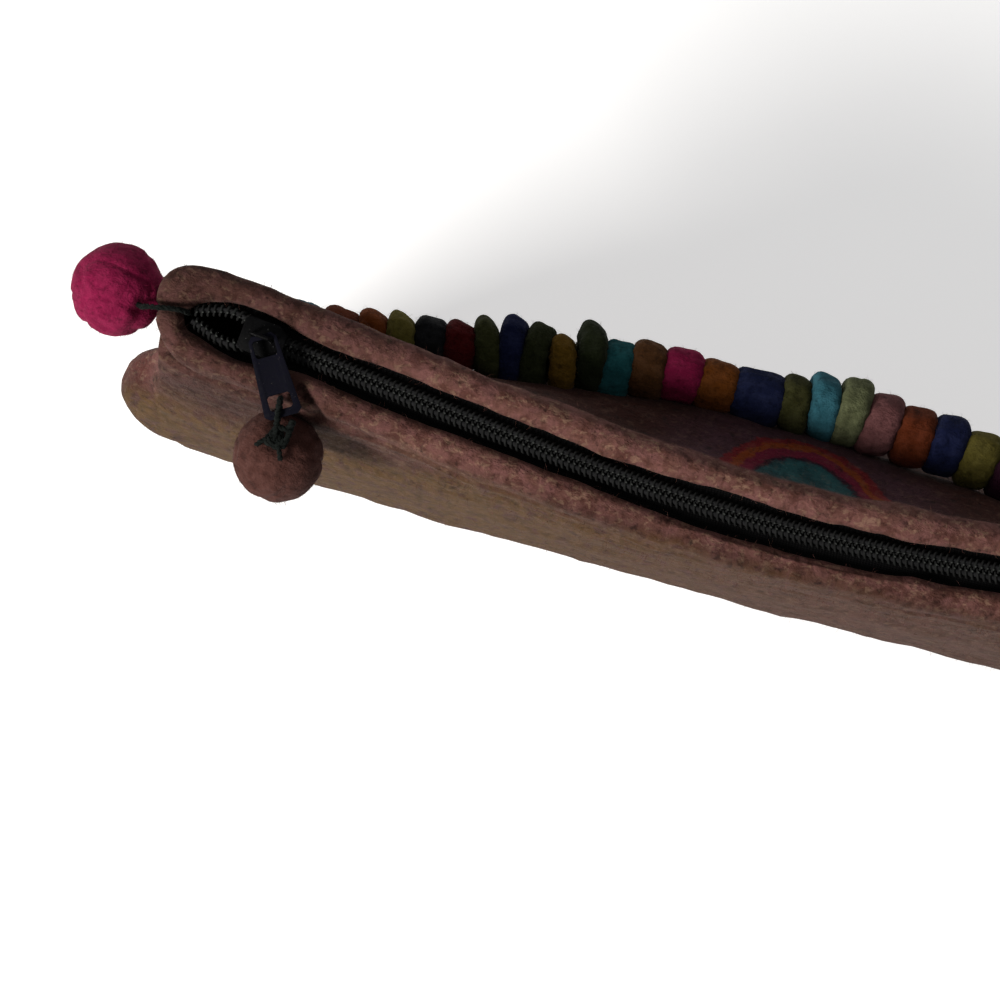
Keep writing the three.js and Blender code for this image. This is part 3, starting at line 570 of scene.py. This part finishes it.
def shapeWalls(points, normals, inner):
    x, z = points[:, 0], points[:, 2]
    facingBack = smoothStep(-normals[:, 1], 0.0, 0.5) * (1 - inner)
    facingFront = smoothStep(normals[:, 1], 0.1, 0.7) * (1 - inner)
    slope = bagForm["slope"]
    lip = reachAt(points, 186, 194, -1)(x)
    wall = reachAt(points, 118, 134, -1)(x)
    share = np.clip((slope["top"] * mm - z) / ((slope["top"] - slope["foot"]) * mm), 0, 1)
    wanted = lip + (wall - lip) * share ** slope["ease"]
    onBack = facingBack * (share > 0) * (share < 1) * (points[:, 1] < lip + 0.008)
    points[:, 1] += np.minimum(wanted - points[:, 1], 0) * onBack
    belly = bagForm["belly"]
    swell = np.exp(-((z / mm - belly["height"]) / belly["spread"]) ** 2) * np.exp(-(x / mm / belly["reach"]) ** 4)
    points[:, 1] += swell * facingFront * belly["out"] * mm
    corner = bagForm["corner"]
    away = np.hypot(x / mm - corner["place"][0], points[:, 1] / mm - corner["place"][1])
    bulge = np.exp(-(away / corner["spread"]) ** 2) * smoothStep(z, 0.176, 0.186) * (1 - inner)
    points[:, :2] += normals[:, :2] * (bulge * corner["out"] * mm)[:, None]
    thin = bagForm["frontLip"]
    narrowed = np.exp(-((x / mm - thin["x"]) / thin["spread"]) ** 2) * smoothStep(z, 0.178, 0.188) * facingFront
    points[:, 1] -= narrowed * thin["back"] * mm


def markTan(mesh, points):  # 0 at the zip line, 1 at the back wall's outline
    tan = bagForm["tan"]
    line = np.array([zipLine(value / mm) + shiftY for value in points[:, 0]]) * mm
    outline = reachAt(points, 60, 200, -1)(points[:, 0])
    across = (line - points[:, 1]) / np.maximum(line - outline, 1 * mm)
    fade = 1 - (1 - tan["least"]) * smoothStep(points[:, 0] / mm, *tan["fade"])
    broken = across + tan["broken"] * lumpField(points, (16, 9, 22), 61)
    attribute = mesh.attributes.new("tan", "FLOAT", "POINT")
    attribute.data.foreach_set("value", smoothStep(broken, tan["from"], tan["to"]) * fade)
    attribute = mesh.attributes.new("wall", "FLOAT", "POINT")
    attribute.data.foreach_set("value", smoothStep(across, 0.42, 0.75))


def makeBag():
    piece = copyNode("felt_bag", "bagShell")
    mesh = piece.data
    points = getPoints(mesh)
    high = points[:, 2] > bagForm["topFrom"] * mm
    for edge in mesh.edges:  # edges that run along the bag, near its top
        first, second = points[edge.vertices[0]], points[edge.vertices[1]]
        gone = np.abs(second - first)
        edge.select = bool(high[edge.vertices[0]] and high[edge.vertices[1]] and gone[0] > 2 * gone[2]
                           and gone[0] > 0.009)
    bpy.context.tool_settings.mesh_select_mode = (False, True, False)
    makeActive(piece)
    chosen = [edge.index for edge in mesh.edges if edge.select]
    for polygon in mesh.polygons:
        polygon.select = False
    for vertex in mesh.vertices:
        vertex.select = False
    for index in chosen:
        mesh.edges[index].select = True
        for corner in mesh.edges[index].vertices:
            mesh.vertices[corner].select = True
    bpy.ops.object.mode_set(mode="EDIT")
    bpy.ops.mesh.subdivide(number_cuts=bagForm["cuts"], smoothness=1.0)
    bpy.ops.object.mode_set(mode="OBJECT")
    applyModifier(piece, "SUBSURF", levels=2, render_levels=2)
    points = getPoints(mesh)
    normals = getNormals(mesh)
    middle = np.stack((np.clip(points[:, 0], -0.14, 0.14), np.full(len(points), -0.002)), 1)
    facing = ((points[:, :2] - middle) * normals[:, :2]).sum(axis=1)
    inner = smoothStep(-facing, 0.0, 0.003) * smoothStep(points[:, 2], 0.1945, 0.1925)
    shapeWalls(points, normals, inner)
    setPoints(mesh, points)
    normals = getNormals(mesh)
    outer = smoothStep(points[:, 2], 0.0, 0.004) * (1 - inner)
    nearTab = np.exp(-(((points[:, 0] + 0.1265) / 0.011) ** 2 + ((points[:, 1] + 0.006) / 0.011) ** 2))
    calm = outer * (1 - 0.8 * nearTab)
    for i, lump in enumerate(bagForm["lumps"]):
        points = points + normals * (lumpField(points, lump["size"], i + 1) * lump["depth"] * mm * calm)[:, None]
    folds = bagForm["folds"]
    field = 1 - 2 * np.abs(lumpField(points, folds["size"], 9))
    back = smoothStep(points[:, 1], -0.004, -0.012) * smoothStep(points[:, 2], 0.196, 0.188) * outer
    points = points + normals * (field * back * folds["depth"] * mm * 0.5)[:, None]
    for line in ("crease", "threadFold"):
        points, valley = pressLine(points, normals, bagForm[line])
        inner = np.maximum(inner, valley * bagForm["creaseShade"])
    points[:, 2] = np.maximum(points[:, 2], 0.0)
    setPoints(mesh, points)
    # the inner faces and the creases, kept for their painted shade in the felt's colour
    attribute = mesh.attributes.new("inner", "FLOAT", "POINT")
    attribute.data.foreach_set("value", inner)
    markTan(mesh, points)
    finishPiece(piece, "bag", "bag_felt", bagFelt, "felt_bag")
    print("bag shell", len(mesh.polygons), "faces")
    return piece


bag = makeBag()


# ---- loose wool fibres that stand off a felt piece

def growFuzz(name, source, body, slot, material, count, length, width, seed, where=None):
    mesh = source.data
    mesh.calc_loop_triangles()
    corners = np.empty(len(mesh.loop_triangles) * 3, np.int32)
    mesh.loop_triangles.foreach_get("vertices", corners)
    points = getPoints(mesh)
    a, b, c = points[corners[0::3]], points[corners[1::3]], points[corners[2::3]]
    cross = np.cross(b - a, c - a)
    area = np.linalg.norm(cross, axis=1)
    weight = area * (where((a + b + c) / 3, cross / np.maximum(area, 1e-15)[:, None]) if where else 1)
    rng = np.random.default_rng(seed)
    pick = rng.choice(len(area), count, p=weight / weight.sum())
    first, second = rng.random(count), rng.random(count)
    flip = first + second > 1
    first[flip], second[flip] = 1 - first[flip], 1 - second[flip]
    root = a[pick] + first[:, None] * (b - a)[pick] + second[:, None] * (c - a)[pick]
    out = cross[pick] / area[pick][:, None]
    side = np.cross(out, rng.normal(size=(count, 3)))
    side /= np.linalg.norm(side, axis=1)[:, None]
    lean = rng.uniform(0.12, 0.75, count)[:, None]
    way = out * lean + side * (1 - lean)
    way /= np.linalg.norm(way, axis=1)[:, None]
    curl = np.cross(out, side) * rng.normal(0, 0.7, count)[:, None] - out * 0.35
    long = (rng.uniform(*length, count) * mm)[:, None]
    middle = root + way * long * 0.5
    tip = middle + (way + curl) * long * 0.45
    root = root - out * 0.15 * mm
    across = np.cross(way, out)
    across /= np.linalg.norm(across, axis=1)[:, None]
    over = np.cross(way, across)
    rings = []
    for centre, radius in ((root, width * mm), (middle, 0.8 * width * mm)):
        for k in range(3):
            angle = 2 * math.pi * k / 3
            rings.append(centre + radius * (math.cos(angle) * across + math.sin(angle) * over))
    vertices = np.stack(rings + [tip], axis=1).reshape(-1, 3)
    faces = []
    for i in range(count):
        k = 7 * i
        faces.append((k + 2, k + 1, k))
        for j in range(3):
            n = (j + 1) % 3
            faces.append((k + j, k + n, k + 3 + n, k + 3 + j))
            faces.append((k + 3 + j, k + 3 + n, k + 6))
    fuzz = bpy.data.meshes.new(name)
    fuzz.from_pydata(vertices.tolist(), [], faces)
    piece = bpy.data.objects.new(name, fuzz)
    bpy.context.scene.collection.objects.link(piece)
    finishPiece(piece, body, slot, material)
    return piece


fuzzSettings = {"bag": 9000, "bagLength": (1.2, 3.4), "bead": 90, "beadLength": (0.8, 2.2), "ball": 420,
                "ballLength": (0.8, 2.4), "thread": 900, "threadLength": (0.7, 2.0), "width": 0.035}


def nearTop(places, normals):
    offFloor = smoothStep(places[:, 2], 0.004, 0.008)
    return (smoothStep(places[:, 2], 0.13, 0.19) * 4 + 0.25) * offFloor


growFuzz("bagFuzz", bag, "bag", "bag_felt", bagFelt, fuzzSettings["bag"], fuzzSettings["bagLength"],
         fuzzSettings["width"], 11, nearTop)
print("bag fuzz grown")


# ---- zip: two coils with their sewing thread, light grey as a painted highlight on each loop's crown, and their tapes

loopPath = [  # one turn of the coil in mm: along, out from the zip line, up
    (0.00, 2.06, 0.38), (0.15, 1.20, 0.36), (0.28, 0.35, 0.42), (0.34, -0.05, 0.72), (0.38, -0.16, 1.15),
    (0.42, -0.05, 1.56), (0.50, 0.35, 1.82), (0.64, 1.20, 1.88), (0.82, 1.98, 1.80), (1.06, 2.32, 1.50),
    (1.28, 2.42, 1.08), (1.40, 2.32, 0.64), (1.48, 2.06, 0.38)]


def eyeOpening(x):
    if not zipForm["eyeStart"] < x < zipForm["eyeEnd"]:
        return 0.0
    share = (x - zipForm["eyeStart"]) / (zipForm["eyeEnd"] - zipForm["eyeStart"])
    return zipForm["eyeSpread"] * math.sin(math.pi * share) ** 2


def makeTube(name, lines, radius, sides=1):  # round strands along lines of points, in metres
    curve = bpy.data.curves.new(name, "CURVE")
    curve.dimensions = "3D"
    curve.bevel_depth = radius
    curve.bevel_resolution = sides
    curve.use_fill_caps = True
    for line in lines:
        spline = curve.splines.new("POLY")
        spline.points.add(len(line) - 1)
        for point, place in zip(spline.points, line):
            point.co = (*place, 1)
    piece = bpy.data.objects.new(name, curve)
    bpy.context.scene.collection.objects.link(piece)
    makeActive(piece)
    bpy.ops.object.convert(target="MESH")
    return bpy.context.object


def layAlongZip(piece, side, count, pitch):
    path = bpy.data.curves.new("zipPath", "CURVE")
    path.dimensions = "3D"
    path.twist_mode = "Z_UP"
    steps = 300
    spline = path.splines.new("POLY")
    spline.points.add(steps)
    for i, point in enumerate(spline.points):
        x = -zipForm["halfLength"] + 2 * zipForm["halfLength"] * i / steps
        y = zipLine(x) + shiftY + side * eyeOpening(x)
        point.co = (x * mm, y * mm, zipForm["coilBase"] * mm, 1)
    guide = bpy.data.objects.new("zipPath", path)
    bpy.context.scene.collection.objects.link(guide)
    applyModifier(piece, "ARRAY", fit_type="FIXED_COUNT", count=count, use_relative_offset=False,
                  use_constant_offset=True, constant_offset_displace=(pitch * mm, 0, 0))
    applyModifier(piece, "CURVE", object=guide, deform_axis="POS_X")
    makeActive(piece)
    bpy.ops.object.mode_set(mode="EDIT")
    bpy.ops.mesh.select_all(action="SELECT")
    bpy.ops.mesh.normals_make_consistent(inside=False)
    bpy.ops.object.mode_set(mode="OBJECT")
    bpy.data.objects.remove(guide)


def makeCoil(place, side):
    start = 0.2 if side > 0 else 0.2 + zipForm["pitch"] / 2
    line = [((x + start) * mm, side * y * mm, z * mm) for x, y, z in loopPath]
    coil = makeTube(f"zipCoil{place.title()}", [line], zipForm["wire"] * mm)
    count = int((2 * zipForm["halfLength"] + 0.8) / zipForm["pitch"])
    layAlongZip(coil, side, count, zipForm["pitch"])
    finishPiece(coil, "bag", "zip_coil", coilNylon, f"zip_coil_{place}")
    # light grey grains on each loop's crown: the sewing thread, lighter than the coil as a painted highlight
    bpy.ops.mesh.primitive_ico_sphere_add(subdivisions=1, radius=1)
    stitch = bpy.context.object
    stitch.name = stitch.data.name = f"zipStitchHighlights{place.title()}"
    grain = getPoints(stitch.data) * np.array((0.34, 0.26, 0.2)) * mm
    lean = grain[:, 0] * 0.18 * side
    setPoints(stitch.data, grain + np.array((0.75 + start, side * 0.62, 2.12)) * mm + np.stack((lean * 0, lean, lean * 0), 1))
    layAlongZip(stitch, side, int(2 * zipForm["halfLength"] / zipForm["stitchPitch"]) - 1, zipForm["stitchPitch"])
    finishPiece(stitch, "bag", "zip_coil", stitchThreadHighlight)
    line = []
    for i in range(301):
        x = -zipForm["halfLength"] + 2 * zipForm["halfLength"] * i / 300
        y = zipLine(x) + shiftY + side * (eyeOpening(x) + zipForm["coreOut"])
        line.append((x * mm, y * mm, (zipForm["coilBase"] + zipForm["coreUp"]) * mm))
    core = makeTube(f"zipCore{place.title()}", [line], zipForm["core"] * mm, 2)
    finishPiece(core, "bag", "zip_coil", coreCord)


def makeTape(place, side):
    tape = copyNode(f"zip_tape_{place}", f"zipTape{place.title()}")
    applyModifier(tape, "SUBSURF", subdivision_type="SIMPLE", levels=2, render_levels=2)
    points = getPoints(tape.data)
    points[:, 2] += lumpField(points, (9, 4, 4), 20 + side) * 0.18 * mm
    setPoints(tape.data, points)
    finishPiece(tape, "bag", "zip_tape", tapeWeave, f"zip_tape_{place}")


for place, side in (("front", 1), ("back", -1)):
    makeCoil(place, side)
    makeTape(place, side)
print("zip made")


# ---- slider and pull tab

def markEdges(piece):  # how sharply the faces turn at each vertex, from 0 to 1
    mesh = piece.data
    total = np.zeros((len(mesh.vertices), 3))
    count = np.zeros(len(mesh.vertices))
    for polygon in mesh.polygons:
        for corner in polygon.vertices:
            total[corner] += polygon.normal
            count[corner] += 1
    sharp = 1 - np.linalg.norm(total, axis=1) / np.maximum(count, 1)
    attribute = mesh.attributes.new("edge", "FLOAT", "POINT")
    attribute.data.foreach_set("value", np.clip(sharp / 0.12, 0, 1))


tabForm = {"yaw": -59.0, "pivot": (-132.9, 132.9, 201.3), "wider": 0.16, "from": 4.5}


def widenTab(piece):  # broader past its head, about its own middle line
    yaw = math.radians(tabForm["yaw"])
    points = getPoints(piece.data)
    start = np.array((tabForm["pivot"][0], zipLine(tabForm["pivot"][1]) + shiftY)) * mm
    offset = points[:, :2] - start
    along = offset @ np.array((math.cos(yaw), math.sin(yaw)))
    across = offset @ np.array((-math.sin(yaw), math.cos(yaw)))
    growth = across * tabForm["wider"] * smoothStep(along, tabForm["from"] * mm, (tabForm["from"] + 9) * mm)
    points[:, 0] += growth * -math.sin(yaw)
    points[:, 1] += growth * math.cos(yaw)
    setPoints(piece.data, points)


def makeHardPiece(node, name, body, slot, material, bevel):
    piece = copyNode(node, name)
    if node == "pull_tab":
        widenTab(piece)
    applyModifier(piece, "BEVEL", width=bevel * mm, segments=3, limit_method="ANGLE", angle_limit=math.radians(28),
                  use_clamp_overlap=True)
    markEdges(piece)
    finishPiece(piece, body, slot, material, node)
    makeActive(piece)
    bpy.ops.object.shade_smooth_by_angle(angle=math.radians(30))
    return piece


makeHardPiece("zip_slider", "zipSlider", "bag", "slider_metal", sliderMetal, 0.16)
makeHardPiece("pull_tab", "pullTab", "pull", "tab_metal", tabMetal, 0.22)
print("slider and tab made")


# ---- felt balls and beads

woolShades = {
    "rose": (94, 34, 52), "slate": (40, 46, 54), "plum": (54, 22, 40), "moss": (50, 54, 24), "sky": (46, 82, 94),
    "rust": (92, 40, 18), "orange": (104, 50, 14), "straw": (92, 84, 36), "charcoal": (26, 26, 28),
    "dark_red": (74, 8, 10), "olive": (50, 52, 24), "navy": (22, 28, 60), "dark_olive": (38, 42, 20),
    "mustard": (98, 72, 18), "forest": (30, 36, 18), "teal": (26, 78, 82), "ochre": (80, 50, 26),
    "magenta": (124, 20, 60), "tan_orange": (100, 54, 16), "indigo": (24, 30, 60), "leaf": (54, 54, 26),
    "turquoise": (46, 94, 106), "sage": (90, 94, 66), "pink": (104, 66, 66),
}
beadForm = {
    "grow": 1.01,         # a bead fills its box once the smoothing is made up for
    "press": 1.7,        # mm by which neighbours press into each other
    "reachOut": 1.7,      # mm of bare thread that pressing closes at most
    "toWall": {"11": 2.4, "12": 3.2, "13": 3.2, "14": 3.4, "15": 2.6, "16": 3.0, "17": 1.4, "19": 1.0, "20": 1.8,
               "21": 2.2, "22": 2.2, "23": 2.4, "24": 1.6, "25": 1.4},   # mm larger towards the bag
    "lumps": [{"size": 7.5, "depth": 0.42}, {"size": 2.6, "depth": 0.18}],
    "wrinkles": 0.2,      # fine wrinkles that run from bore to bore
    "drum": 3.0,          # 2 is an ellipsoid, more is a drum with flatter ends
}
ballForm = {
    "grow": 1.01,
    "dimple": 1.5,        # mm deep, where a thread goes in
    "dimpleSpread": 3.0,
    "lumps": [{"size": 13, "depth": 0.55}, {"size": 4.5, "depth": 0.35}, {"size": 1.8, "depth": 0.09}],
    "creases": 0.45,
}
# painted shade: the handle's wool colours are scaled down as if in half shade
handleShadeFactor = 0.8


def dim(colour):  # the handle's wool lies in half shade
    return tuple(value * handleShadeFactor for value in colour[:3]) + (1,)


woolMaterials = {name: makeWoolMaterial(f"wool{name.title().replace('_', '')}", dim(tone(*shade)))
                 for name, shade in woolShades.items()}
ballWool = makeWoolMaterial("woolRoseBrown", tone(66, 40, 35), 0.5, 1.35, 330.0, 900.0, 0.0010)


def fillBox(points, low, high, grow):  # each axis scaled so that smoothing takes nothing off
    near, far = points.min(axis=0), points.max(axis=0)
    scale = (high - low) / (far - near) * grow
    return (low + high) / 2 + (points - (near + far) / 2) * scale


def roughenWool(piece, form, seed, low, high):
    mesh = piece.data
    setPoints(mesh, fillBox(getPoints(mesh), low, high, form["grow"]))
    points = getPoints(mesh)
    normals = getNormals(mesh)
    for i, lump in enumerate(form["lumps"]):
        field = lumpField(points, (lump["size"],) * 3, seed + i * 13)
        points = points + normals * (field * lump["depth"] * mm)[:, None]
    return points, normals


def squareUp(points, power):  # an ellipsoid along X becomes a drum with soft edges
    near, far = points.min(axis=0), points.max(axis=0)
    middle, half = (near + far) / 2, (far - near) / 2
    share = (points - middle) / half
    around = np.hypot(share[:, 1], share[:, 2])
    plain = np.hypot(share[:, 0], around)
    drum = (np.abs(share[:, 0]) ** power + around ** power) ** (1 / power)
    return middle + share * (plain / np.maximum(drum, 1e-6))[:, None] * half


def makeBead(node, shade, seed, reach):
    number = node.split("_")[1]
    bead = copyNode(node, f"feltBead{number}")
    low, high = (np.array(corner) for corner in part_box(node))
    low[0], high[0] = low[0] - reach[0], high[0] + reach[1]
    low[1] -= beadForm["toWall"].get(number, 0.5) * mm
    applyModifier(bead, "SUBSURF", levels=2, render_levels=2)
    setPoints(bead.data, squareUp(getPoints(bead.data), beadForm["drum"]))
    points, normals = roughenWool(bead, beadForm, seed, low, high)
    offset = points - (low + high) / 2
    turn = np.arctan2(offset[:, 2], offset[:, 1])
    ripple = np.sin(turn * 9 + 5 * lumpField(points, (5, 5, 5), seed + 3))
    points = points + normals * (ripple * beadForm["wrinkles"] * mm)[:, None]
    setPoints(bead.data, points)
    finishPiece(bead, "bag", f"felt_{shade}", woolMaterials[shade], node)
    growFuzz(f"beadFuzz{number}", bead, "bag", f"felt_{shade}", woolMaterials[shade], fuzzSettings["bead"],
             fuzzSettings["beadLength"], fuzzSettings["width"], seed)


def makeBall(node, name, body, slot, material, seed, entries):  # closed wool, dimpled where the thread goes in
    low, high = (np.array(corner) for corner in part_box(node))
    middle, half = (low + high) / 2, (high - low) / 2
    bpy.ops.object.select_all(action="DESELECT")
    bpy.ops.mesh.primitive_cube_add(size=1)
    ball = bpy.context.object
    ball.name = ball.data.name = name
    applyModifier(ball, "SUBSURF", levels=5, render_levels=5)
    points = getPoints(ball.data)
    points /= np.linalg.norm(points, axis=1)[:, None]
    setPoints(ball.data, middle + points * half)
    points, normals = roughenWool(ball, ballForm, seed, low, high)
    crease = np.abs(lumpField(points, (14, 9, 14), seed + 5))
    valley = np.exp(-(crease / 0.09) ** 2)
    points = points - normals * (valley * ballForm["creases"] * mm)[:, None]
    for entry in entries:
        way = np.array(entry) / np.linalg.norm(entry)
        away = np.linalg.norm(points - (middle + way * half), axis=1) / mm
        points = points - way * (np.exp(-(away / ballForm["dimpleSpread"]) ** 2) * ballForm["dimple"] * mm)[:, None]
    setPoints(ball.data, points)
    finishPiece(ball, body, slot, material, node)
    growFuzz(f"{name}Fuzz", ball, body, slot, material, fuzzSettings["ball"], fuzzSettings["ballLength"],
             fuzzSettings["width"], seed)


beadNodes = sorted(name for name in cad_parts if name.startswith("bead_"))


def pressReach(node, other):  # how far a bead grows towards its neighbour to press against it
    if other is None:
        return 0.0
    space = max(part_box(node)[0].x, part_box(other)[0].x) - min(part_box(node)[1].x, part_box(other)[1].x)
    if space > beadForm["reachOut"] * mm:
        return 0.0
    return (max(space, 0) + beadForm["press"] * mm) / 2


for i, node in enumerate(beadNodes):
    before = beadNodes[i - 1] if i else None
    after = beadNodes[i + 1] if i + 1 < len(beadNodes) else None
    makeBead(node, "_".join(node.split("_")[2:]), 40 + i, (pressReach(node, before), pressReach(node, after)))
makeBall("end_ball_left", "endBallLeft", "bag", "felt_magenta", woolMaterials["magenta"], 101,
         ((0.8, -0.3, 0.65), (0, 0, -1)))
makeBall("end_ball_right", "endBallRight", "bag", "felt_magenta", woolMaterials["magenta"], 104,
         ((-0.8, -0.3, 0.65), (0, 0, -1)))
makeBall("pull_ball", "pullBall", "pull", "ball_felt", ballWool, 107, ((-1.3, 3.6, 12.6),))
print("beads and balls made")


# ---- wool thread: the handle's, and the pull's tie with its knot

threadForm = {"ply": 0.42, "offset": 0.40, "turn": 4.2, "plies": 3, "tiePly": 0.46, "tieOffset": 0.36, "tieTurn": 3.0}


def smoothRoute(points, step):  # an even Catmull-Rom line through the points
    line = [np.array(point, float) for point in points]
    line = [2 * line[0] - line[1]] + line + [2 * line[-1] - line[-2]]
    out = []
    for before, start, end, after in zip(line, line[1:], line[2:], line[3:]):
        count = max(2, int(np.linalg.norm(end - start) / step))
        for i in range(count):
            t = i / count
            out.append(0.5 * (2 * start + (end - before) * t + (2 * before - 5 * start + 4 * end - after) * t * t
                              + (3 * start - before - 3 * end + after) * t ** 3))
    out.append(line[-2])
    return np.array(out)


def twistPlies(route, plies, offset, turn):
    ways = np.gradient(route, axis=0)
    ways /= np.linalg.norm(ways, axis=1)[:, None]
    across = np.array((0.1, 1.0, 0.2))
    travelled = 0.0
    lines = [[] for _ in range(plies)]
    for i, (place, way) in enumerate(zip(route, ways)):
        across = across - way * (across @ way)
        across = across / np.linalg.norm(across)
        over = np.cross(way, across)
        if i:
            travelled += np.linalg.norm(place - route[i - 1])
        for k in range(plies):
            angle = 2 * math.pi * (travelled / turn + k / plies)
            lines[k].append(place + offset * (math.cos(angle) * across + math.sin(angle) * over))
    return lines


def makeHandleThread():
    route = []
    ballTop = 11.6
    for side, ball in ((-1, "end_ball_left"), (1, "end_ball_right")):
        y = (zipLine(154) + shiftY)
        centre = beadCentre(ball) / mm
        end = [(side * 152.2, y, 196.8), (side * 153.2, y, 200.0), (side * 155.5, y - 0.3, 200.9),
               (side * 159.0, y - 0.9, 200.9), (side * 162.0, y - 1.3, 199.6), (side * 164.2, y - 1.2, 195.4),
               (side * 167.0, y, 190.5), tuple(centre), (centre.x, centre.y, centre.z - ballTop)]
        if side < 0:
            route += end
            route += [tuple(beadCentre(node) / mm) for node in beadNodes]
        else:
            route += end[::-1]
    line = smoothRoute(route, 1.1) * mm
    lines = twistPlies(line, threadForm["plies"], threadForm["offset"] * mm, threadForm["turn"] * mm)
    thread = makeTube("handleThread", lines, threadForm["ply"] * mm)
    finishPiece(thread, "bag", "thread", threadWool, "handle_thread")
    growFuzz("handleThreadFuzz", thread, "bag", "thread", threadWool, fuzzSettings["thread"],
             fuzzSettings["threadLength"], 0.03, 31, lambda places, normals: (np.abs(places[:, 0]) > 0.151) + 0.02)


def makeTie():
    low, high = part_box("pull_ball")
    ball = np.array((low + high) / 2) / mm
    lean = np.array((-1.3, 2.2, 13.4))
    lean = lean / np.linalg.norm(lean)
    knot = ball + lean * 12.6 + np.array((0.4, 1.3, 0))
    yaw = math.radians(-59)
    pivot = np.array((-132.9, zipLine(132.9) + shiftY, 201.3))
    window = pivot + 16.3 * np.array((math.cos(yaw), math.sin(yaw), 0))
    toward = knot - window
    toward[2] = 0
    toward = toward / np.linalg.norm(toward)
    edge = window + toward * 4.7
    up = np.array((0, 0, 1.0))
    route = [knot, edge - up * 1.3, window - up * 1.25, window - toward * 0.7, window + up * 1.35,
             edge + up * 1.2 - toward * 0.6, edge + toward * 0.7 + up * 0.3, knot]
    lines = twistPlies(smoothRoute(route, 0.4) * mm, 2, threadForm["tieOffset"] * mm, threadForm["tieTurn"] * mm)
    first = np.cross(lean, (0, 1.0, 0))
    first /= np.linalg.norm(first)
    second = np.cross(lean, first)
    turns = []
    for i in range(61):  # a tight overhand knot
        t = 2 * math.pi * i / 60
        x, y, z = math.sin(t) + 2 * math.sin(2 * t), math.cos(t) - 2 * math.cos(2 * t), -math.sin(3 * t)
        turns.append(knot + 0.72 * (x * first + y * second) + (0.85 * z - 0.5) * lean)
    lines += twistPlies(np.array(turns) * mm, 3, 0.44 * mm, 3.2 * mm)
    spun = np.array(turns) - knot
    crossed = knot + (spun @ first)[:, None] * second * 0.9 - (spun @ second)[:, None] * first * 0.8
    lines += twistPlies((crossed + (spun @ lean)[:, None] * lean * 0.7) * mm, 3, 0.4 * mm, 3.0 * mm)
    right = np.cross(lean, toward)
    loop = [knot, knot + toward * 1.6 + right * 2.2, edge + right * 3.9 - toward * 0.2, edge + right * 2.6 + toward * 1.8,
            edge + toward * 1.2 - up * 0.6, knot + toward * 0.8]
    lines += twistPlies(smoothRoute(loop, 0.4) * mm, 2, threadForm["tieOffset"] * mm, threadForm["tieTurn"] * mm)
    tails = [[knot, knot + first * 2.4 + second * 1.0, knot + first * 4.2 + second * 2.6 - lean * 0.8],
             [knot, knot - first * 1.6 + second * 2.2, knot - first * 2.6 + second * 4.6 - lean * 1.2]]
    for tail in tails:
        lines += twistPlies(smoothRoute(tail, 0.4) * mm, 2, 0.24 * mm, 2.6 * mm)
    stem = [ball + lean * 6, ball + lean * 10, knot]
    lines += twistPlies(smoothRoute(stem, 0.5) * mm, 2, threadForm["tieOffset"] * mm, threadForm["tieTurn"] * mm)
    tie = makeTube("pullTie", lines, threadForm["tiePly"] * mm)
    finishPiece(tie, "pull", "thread", threadWool, "pull_tie")
    growFuzz("pullTieFuzz", tie, "pull", "thread", threadWool, 1500, fuzzSettings["threadLength"], 0.03, 33)


makeHandleThread()
makeTie()
print("threads made")
